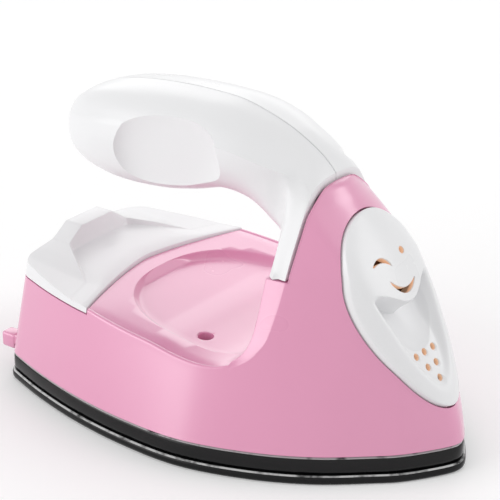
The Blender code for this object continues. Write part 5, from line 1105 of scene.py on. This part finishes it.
def grip_form(inset, steps, ring_steps, reach, groove=False):
    """The whole handle as one closed form, drawn in by an inset."""
    chosen = []
    for share, top, bottom, width in GRIP_SHARES:
        chosen.append(rear_section(
            HANDLE_TOP - top * HANDLE_DEPTH, HANDLE_TOP - bottom * HANDLE_DEPTH, width * HANDLE_WIDTH / 2,
            HANDLE_REAR + share * HANDLE_LENGTH))
    for share, points in NECK_SHARES:
        chosen.append([
            Vector((HANDLE_REAR + share * HANDLE_LENGTH, across * HANDLE_WIDTH / 2, HANDLE_TOP - fall * HANDLE_DEPTH))
            for across, fall in points])
    sections = []
    for k in range(len(chosen) - 1):
        count = max(steps // 2, 1) if k < 2 or k >= len(chosen) - 4 else steps
        sections += [section_between(chosen, k, n / count) for n in range(count)]
    sections.append(chosen[-1])
    rings = []
    for section in sections:
        ring = smooth_section(section, ring_steps, groove)
        middle = (ring[0] + ring[-1]) / 2
        if inset:
            if ring[0].z - ring[-1].z <= 2 * inset:
                continue
            ring = [p + (middle - p) * min(inset / max((middle - p).length, inset), 0.9) for p in ring]
        ring[0].y = ring[-1].y = 0.0
        rings.append(ring)
    if not inset:
        first = rings[0]
        middle = (first[0] + first[-1]) / 2
        for shrink, back in ((0.86, 0.3), (0.66, 0.62), (0.4, 0.87), (0.12, 0.99)):
            x = first[0].x + (HANDLE_REAR - first[0].x) * back
            rings.insert(0, [Vector((x, p.y * shrink, middle.z + (p.z - middle.z) * shrink)) for p in first])
    rings.append([p + Vector((reach, 0, 0)) for p in rings[-1]])
    full = [ring + [Vector((p.x, -p.y, p.z)) for p in reversed(ring[1:-1])] for ring in rings]
    return pull_rings(full)


def thumb_ball(side, grow, segments):
    """Oval pan, flat in its floor, that sinks the thumb rest into one side, grown by a little."""
    ball = bmesh.new()
    bmesh.ops.create_uvsphere(ball, u_segments=segments, v_segments=segments * 3 // 5, radius=1.0)
    for v in ball.verts:
        v.co.z = math.copysign(math.sqrt(max(1 - math.hypot(v.co.x, v.co.y) ** 4, 0.0)), v.co.z)
    bmesh.ops.scale(ball, vec=[length / 2 + grow for length in THUMB_SIZE], verts=ball.verts)
    turn = Matrix.Rotation(math.radians(side * -THUMB_SWING), 4, "Z")
    turn @= Matrix.Rotation(math.radians(90 + side * -THUMB_TILT), 4, "X")
    middle = Vector((
        HANDLE_REAR + THUMB_SHARE * HANDLE_LENGTH,
        side * (HANDLE_WIDTH / 2 - THUMB_DEPTH + THUMB_SIZE[2] / 2), HANDLE_TOP - THUMB_DROP))
    bmesh.ops.transform(ball, matrix=Matrix.Translation(middle) @ turn, verts=ball.verts)
    return ball


grip_hollow = make_tool(grip_form(HANDLE_WALL, 2, 1, 0.006))
for x, z in handle_screws:
    foot = Vector((x, -HANDLE_WIDTH, z))
    carve(grip_hollow, make_well(foot, (0, 1, 0), GRIP_BOSS_RADIUS, 2 * HANDLE_WIDTH, reach=0.0, steps=24))
for side in (-1, 1):
    carve(grip_hollow, thumb_ball(side, THUMB_BACKING, 24))
TONGUE_X = along(0.647) + SADDLE_WALL + 0.0003
for side, name, node in ((-1, "near_grip_shell", "handle_right"), (1, "far_grip_shell", "handle_left")):
    form = grip_form(0.0, 5, 5, 0.006, groove=True)
    collar_x = along(COLLAR_SHARE) - COLLAR_GAP
    cut = bmesh.ops.bisect_plane(
        form, geom=form.verts[:] + form.edges[:] + form.faces[:], plane_co=(collar_x, 0, LEG_END),
        plane_no=(1, 0, -0.0035), clear_outer=True)
    rim = [e for e in cut["geom_cut"] if isinstance(e, bmesh.types.BMEdge)]
    bmesh.ops.holes_fill(form, edges=rim, sides=0)
    rim = [e for e in form.edges if e.is_valid and all(
        abs(v.co.x - collar_x) < 0.0003 and v.co.z > LEG_END + 0.0006 for v in e.verts)]
    bmesh.ops.bevel(
        form, geom=rim, offset=COLLAR_ROUND, segments=3, profile=0.5, affect="EDGES", material=-1,
        clamp_overlap=True)
    bmesh.ops.recalc_face_normals(form, faces=form.faces)
    grip = make_piece(name, form)
    carve(grip, grip_hollow, keep=True)
    ys = sorted((-side * 0.04, side * SEAM_GAP / 2))
    carve(grip, make_box((-0.06, ys[0], 0.02), (0.06, ys[1], 0.08)))
    carve(grip, thumb_ball(side, 0.0, 96))
    for x, z in handle_screws:
        carve(grip, make_well(Vector((x, -0.0050, z)), (0, 1, 0), SCREW_BORE, 0.02, steps=24))
        if side > 0:
            carve(grip, make_well(Vector((x, HANDLE_SEAT, z)), (0, 1, 0), GRIP_WELL_RADIUS, 0.02, steps=40))
    y = side * TONGUE_SPREAD
    tongue = make_box((TONGUE_X, y - TONGUE_HALF, LEG_END - TONGUE_DROP),
                      (TONGUE_X + TONGUE_THICKNESS, y + TONGUE_HALF, LEG_END + 0.0013), 0.0002, 1)
    carve(grip, tongue, "UNION")
    foot = Vector((TONGUE_X - 0.002, y, LEG_END - TONGUE_SCREW_DROP))
    carve(grip, make_well(foot, (1, 0, 0), SCREW_BORE, 0.006, steps=24))
    finish_piece(grip, white_gloss, "white_gloss", node)
bpy.data.objects.remove(grip_hollow)

# Front panel: white ABS egg let into the nose, domed like a face over a chin and a hollowed bib.
# Moulded in one, with a sieve of holes and a plain wink and smile cut through for the lamp behind.
PANEL_PROUD = 0.0008
PANEL_SKIN = 0.0014
PANEL_BACK = 0.0016
PANEL_BLEND = 0.0012
FACE_HEIGHT = 0.0018
FACE_CROWN = 0.27 * PANEL_LENGTH
FACE_BOW_DOWN = 1.2
FACE_BOW_ACROSS = 9.0
CHIN_PLACE = 0.480 * PANEL_LENGTH
CHIN_SWEEP = 0.0042
CHIN_REACH = 0.0095
CHIN_ROUND = 0.0012
BORDER_WIDTH = 0.0024
BORDER_ROLL = 0.0042
BIB_PLACE = 0.72 * PANEL_LENGTH
BIB_HEIGHT = -0.00125
BIB_RISE = 0.14
BIB_BOW = 8.0
HOLLOW_WIDTH = 0.0156
HOLLOW_END = 0.705 * PANEL_LENGTH
HOLLOW_DEPTH = 0.0017
PANEL_EDGE = 0.00025
HOLE_WALL_LEAN = 0.3
HOLE_GLOW_DEPTH = 0.0003
HOLE_REACH = 0.006
HOLE_GLOW = 0.16
SIEVE_HOLE = 0.0015
SIEVE_PITCH = 0.0031
SIEVE_TOP = 0.72 * PANEL_LENGTH
SIEVE_ROWS = (3, 2, 1)
EYE_HOLE = 0.0015
EYE_PLACE = 0.245 * PANEL_LENGTH
EYE_SPREAD = 0.0039
WINK_DROP = 0.0011
# Width, rise, slit and tilt of the wink and of the smile
WINK = (0.0052, 0.0013, 0.0008, -14.0)
SMILE = (0.0080, -0.0023, 0.0010, -11.0)
SMILE_PLACE = 0.365 * PANEL_LENGTH


def ease(value):
    """Smooth step from 0 to 1."""
    t = min(max(value, 0.0), 1.0)
    return t * t * (3 - 2 * t)


def border_distance(place, across):
    """Distance in from the edge of the egg, along the line to its middle."""
    down = (PANEL_LENGTH / 2 - place) / (PANEL_LENGTH / 2)
    reach = 1.0
    for _ in range(4):
        taper = (1 + PANEL_EGG * down / reach) / (1 + PANEL_EGG * PANEL_EGG / 2)
        reach = max(math.hypot(down, across / (PANEL_WIDTH / 2) / taper), 0.02)
    return math.hypot(place - PANEL_LENGTH / 2, across) * (1 / reach - 1)


def relief_height(place, across):
    """Height of the panel's front over its plane: the face, then the bib and its hollow below the chin."""
    face = FACE_HEIGHT - FACE_BOW_DOWN * (place - FACE_CROWN) ** 2 - FACE_BOW_ACROSS * across * across
    bib = BIB_HEIGHT + BIB_RISE * (place - BIB_PLACE) + BIB_BOW * across * across
    chin = CHIN_PLACE - CHIN_SWEEP * ease(abs(across) / CHIN_REACH)
    run = max((place - chin) / (HOLLOW_END - chin), 0.0)
    half = HOLLOW_WIDTH / 2 * math.sqrt(max(1 - run ** 2, 0.0))
    if half > abs(across):
        bib -= HOLLOW_DEPTH * (1 - run ** 2) ** 0.8 * (1 - (across / half) ** 2) ** 0.8
    below = ease((place - chin) / CHIN_ROUND + 0.35)
    return face + (bib - face) * below * ease((border_distance(place, across) - BORDER_WIDTH) / BORDER_ROLL)


nose_form = mound(-PANEL_PROUD, None, 90, 30, 24)
nose_tree = BVHTree.FromBMesh(nose_form)
nose_form.free()


def nose_height(place, across):
    """Height over the panel's plane of the nose's own surface, grown by the panel's stand-off."""
    hit = nose_tree.ray_cast(panel_point(place, across, 0.02), -PANEL_OUT)[0]
    return (hit - panel_point(place, across, 0.0)).dot(PANEL_OUT) if hit else 0.0


def front_height(place, across):
    """Height of the panel's finished front, the lower of nose and relief, blended where they meet."""
    a, b = nose_height(place, across), relief_height(place, across)
    mix = min(max(0.5 + (a - b) / (2 * PANEL_BLEND), 0.0), 1.0)
    return a + (b - a) * mix - PANEL_BLEND * mix * (1 - mix)


def back_height(place, across):
    """Height of the panel's back, under its skin or on its seat, whichever is lower."""
    return min(nose_height(place, across) - PANEL_PROUD - PANEL_BACK, relief_height(place, across) - PANEL_SKIN)


def panel_form():
    """Panel as rings from the middle of its front over its rounded edge to the middle of its back."""
    rings = []
    rows = 84
    inner = 1 - PANEL_EDGE * 2 / PANEL_WIDTH * 1.6
    for k in range(rows + 1):
        scale = 0.012 + (inner - 0.012) * k / rows
        rings.append(panel_ring(scale, 0.0, front_height))
    for k in range(1, 6):
        turn = math.pi / 2 * k / 5
        grow = -PANEL_EDGE * (1 - math.sin(turn))
        drop = PANEL_EDGE * (1 - math.cos(turn))
        rings.append(panel_ring(1.0, grow, lambda p, a: front_height(p, a) - drop))
    for scale, grow in ((1.0, 0.0), (1.0, -0.0003), (0.9, 0.0), (0.75, 0.0), (0.6, 0.0), (0.45, 0.0), (0.3, 0.0),
                        (0.15, 0.0), (0.012, 0.0)):
        rings.append(panel_ring(scale, grow, back_height))
    return pull_rings(rings)


def crescent_tool(middle, across, width, rise, slit, tilt):
    """Slit between two arcs, cut through the panel and softened at its mouth."""
    turn = math.radians(tilt)
    rings = []
    for grow, over in ((0.0, None), (0.0, -0.00025), (0.00004, -0.0001), (0.00013, 0.00001), (0.00028, 0.0002)):
        outline = []
        steps = 24
        for way in (1, -1):
            for k in range(steps):
                t = way * (2 * k / steps - 1)
                bow = rise * (1 - t * t)
                half = slit / 2 * (1 - t * t) ** 0.6 + 0.00008 + grow
                outline.append((t * (width / 2 + grow), bow + way * half))
        ring = []
        for u, v in outline:
            place = middle - (u * math.sin(turn) + v * math.cos(turn))
            side = across + u * math.cos(turn) - v * math.sin(turn)
            height = -0.008 if over is None else front_height(place, side) + over
            ring.append(panel_point(place, side, height))
        rings.append(ring)
    return pull_rings(rings)


panel = make_piece("nose_panel", panel_form())
holes = [(EYE_PLACE, EYE_SPREAD, EYE_HOLE)]
for row, count in enumerate(SIEVE_ROWS):
    for k in range(count):
        holes.append((SIEVE_TOP + row * SIEVE_PITCH * 0.97, (k - (count - 1) / 2) * SIEVE_PITCH, SIEVE_HOLE))
for place, across, size in holes:
    foot = panel_point(place, across, front_height(place, across) - HOLE_REACH)
    carve(panel, make_well(foot, PANEL_OUT, size / 2, HOLE_REACH, 0.0002, 0.00018, steps=40))
carve(panel, crescent_tool(EYE_PLACE + WINK_DROP, -EYE_SPREAD, *WINK))
carve(panel, crescent_tool(SMILE_PLACE, 0.0, *SMILE))
finish_piece(panel, white_gloss, "white_gloss", "face_panel")

# The walls of the cut-outs are painted a glowing tan: painted light that stands in for the amber light coming through
# the diffuser.
hole_painted_glow = skin_material(
    "hole_painted_glow", (0.90, 0.64, 0.46), (0.94, 0.70, 0.52), 0.45, 0.05, 0.00001, (1200.0, 90.0, 600.0))
hole_shader = hole_painted_glow.node_tree.nodes["Principled BSDF"]
hole_shader.inputs["Emission Color"].default_value = (0.90, 0.58, 0.38, 1.0)
hole_shader.inputs["Emission Strength"].default_value = HOLE_GLOW
panel.data.materials.append(hole_painted_glow)
# Faces on the walls of the cut-outs, below the front's surface, take the painted glow.
for face in panel.data.polygons:
    offset = face.center - PANEL_TOP
    place, across, height = offset.dot(PANEL_DOWN), offset.y, offset.dot(PANEL_OUT)
    if border_distance(place, across) > BORDER_WIDTH and abs(face.normal.dot(PANEL_OUT)) < HOLE_WALL_LEAN:
        if height < front_height(place, across) - HOLE_GLOW_DEPTH:
            face.material_index = 1

# Lamp unit behind the panel, and the works: translucent sheet, board, ceramic heater, mica, steel and leads.
# They are the CAD's own forms, held by screws and clamps, each given the finish of its real material.
# Name, two colours, roughness and its spread, grain depth, the group's scales, specks and the nodes it is on
WORKS = (
    ("amber_diffuser", (0.62, 0.30, 0.16), (0.70, 0.36, 0.20), 0.35, 0.05, 0.00001, (1200.0, 90.0, 600.0), 0.0,
     ("light_diffuser",)),
    ("board_green", (0.02, 0.17, 0.06), (0.03, 0.23, 0.08), 0.32, 0.06, 0.00002, (1800.0, 300.0, 700.0), 0.1,
     ("indicator_board",)),
    ("lamp_red", (0.60, 0.03, 0.02), (0.68, 0.05, 0.03), 0.15, 0.03, 0.000004, (900.0, 200.0, 700.0), 0.0,
     ("indicator_lamp_1", "indicator_lamp_2")),
    ("resistor_tan", (0.55, 0.38, 0.20), (0.62, 0.44, 0.25), 0.45, 0.05, 0.00002, (2200.0, 500.0, 700.0), 0.0,
     ("resistor",)),
    ("heater_ceramic", (0.72, 0.69, 0.62), (0.80, 0.78, 0.72), 0.70, 0.08, 0.00004, (1500.0, 200.0, 700.0), 0.1,
     ("heating_element",)),
    ("mica_sheet", (0.45, 0.34, 0.20), (0.56, 0.46, 0.30), 0.35, 0.1, 0.00003, (900.0, 350.0, 400.0), 0.0,
     ("mica_sheet",)),
    ("fuse_case", (0.62, 0.50, 0.26), (0.70, 0.58, 0.32), 0.30, 0.06, 0.00001, (2500.0, 300.0, 900.0), 0.1,
     ("thermal_fuse",)),
    ("block_nylon", (0.72, 0.72, 0.67), (0.78, 0.78, 0.74), 0.50, 0.05, 0.00002, (1600.0, 150.0, 700.0), 0.0,
     ("terminal_block", "cord_clamp")),
    ("lead_red", (0.42, 0.02, 0.015), (0.50, 0.03, 0.02), 0.45, 0.05, 0.00001, (2000.0, 300.0, 900.0), 0.0,
     ("lead_supply", "lead_link", "lead_lamp_2")),
    ("lead_white", (0.70, 0.70, 0.67), (0.76, 0.76, 0.73), 0.45, 0.05, 0.00001, (2000.0, 300.0, 900.0), 0.0,
     ("lead_heater_1", "lead_heater_2", "lead_lamp_1")),
)
STEEL_PIECES = ["heater_clamp", "thermostat", "fuse_clip"]


def dress_nodes(names, finish):
    """Put a finish in every slot of some CAD nodes."""
    for name in names:
        for spot in nodes[name].material_slots:
            spot.material = finish


for *look, names in WORKS:
    dress_nodes(names, skin_material(*look, metallic=1.0 if look[0] == "fuse_case" else 0.0))
screw_nodes = [name for name in nodes if name.endswith(("_1", "_2", "_3")) and "screw" in name]
dress_nodes(screw_nodes + STEEL_PIECES, zinc_steel)

# Studio: a white paper floor under the press, four soft lamps round it and an even white sky.
# Floor and sky are whiter for rays that see them than for those that they light.
FLOOR_SIZE = 3.0
FLOOR_LIFT = 0.16
SKY_FILL = 0.66
SKY_SEEN = 1.0


def level_for_sight(tree, socket, unseen, seen, kinds):
    """Strength of a surface or sky, one value for rays of the given kinds and another for all others."""
    rays = tree.nodes.new("ShaderNodeLightPath")
    sight = rays.outputs[kinds[0]]
    for kind in kinds[1:]:
        either = add_node(tree, "ShaderNodeMath", operation="MAXIMUM")
        tree.links.new(sight, either.inputs[0])
        tree.links.new(rays.outputs[kind], either.inputs[1])
        sight = either.outputs["Value"]
    level = add_node(tree, "ShaderNodeMapRange", To_Min=unseen, To_Max=seen)
    tree.links.new(sight, level.inputs["Value"])
    tree.links.new(level.outputs["Result"], socket)


floor = bmesh.new()
bmesh.ops.create_grid(floor, x_segments=1, y_segments=1, size=FLOOR_SIZE)
paper, paper_tree, paper_shader = new_material("white_paper", (0.86, 0.86, 0.86), 0.9)
paper_shader.inputs["Emission Color"].default_value = (1.0, 1.0, 1.0, 1.0)
level_for_sight(
    paper_tree, paper_shader.inputs["Emission Strength"], 0.0, FLOOR_LIFT, ("Is Camera Ray", "Is Glossy Ray"))
floor_piece = make_piece("floor", floor, paper)

# Name, place, size and power
LAMPS = (
    ("left_softbox", (-0.60, -0.82, 0.36), (0.90, 0.62), 4.6),
    ("right_softbox", (0.85, 0.60, 0.62), (0.60, 0.60), 3.0),
    ("back_softbox", (-0.62, 0.86, 0.50), (1.00, 0.60), 2.0),
    ("top_softbox", (0.46, 0.16, 0.95), (0.70, 0.60), 0.5),
)
TARGET = Vector((0.0016, 0.0, 0.030))
for name, place, size, power in LAMPS:
    light = bpy.data.lights.new(name, "AREA")
    light.shape = "RECTANGLE"
    light.size, light.size_y = size
    light.energy = power
    lamp_object = bpy.data.objects.new(name, light)
    lamp_object.location = place
    lamp_object.rotation_euler = (TARGET - Vector(place)).to_track_quat("-Z", "Y").to_euler()
    bpy.context.scene.collection.objects.link(lamp_object)

world = bpy.data.worlds.new("studio")
world.use_nodes = True
bpy.context.scene.world = world
sky = world.node_tree.nodes["Background"]
sky.inputs["Color"].default_value = (1.0, 1.0, 1.0, 1.0)
level_for_sight(
    world.node_tree, sky.inputs["Strength"], SKY_FILL, SKY_SEEN,
    ("Is Camera Ray", "Is Glossy Ray", "Is Transmission Ray"))

CAMERA_AZIMUTH = math.radians(36.7)
CAMERA_ELEVATION = math.radians(24.4)
CAMERA_DISTANCE = 0.400
camera = bpy.data.cameras.new("camera")
camera.lens = 133.96
camera.sensor_width = 36.0
camera.shift_x = -0.0128
camera.shift_y = 0.049
camera_object = bpy.data.objects.new("camera", camera)
back = Vector((
    math.sin(CAMERA_AZIMUTH) * math.cos(CAMERA_ELEVATION),
    -math.cos(CAMERA_AZIMUTH) * math.cos(CAMERA_ELEVATION), math.sin(CAMERA_ELEVATION)))
camera_object.location = TARGET + back * CAMERA_DISTANCE
camera_object.rotation_euler = (-back).to_track_quat("-Z", "Y").to_euler()
bpy.context.scene.collection.objects.link(camera_object)
bpy.context.scene.camera = camera_object
bpy.context.scene.view_settings.view_transform = "Standard"
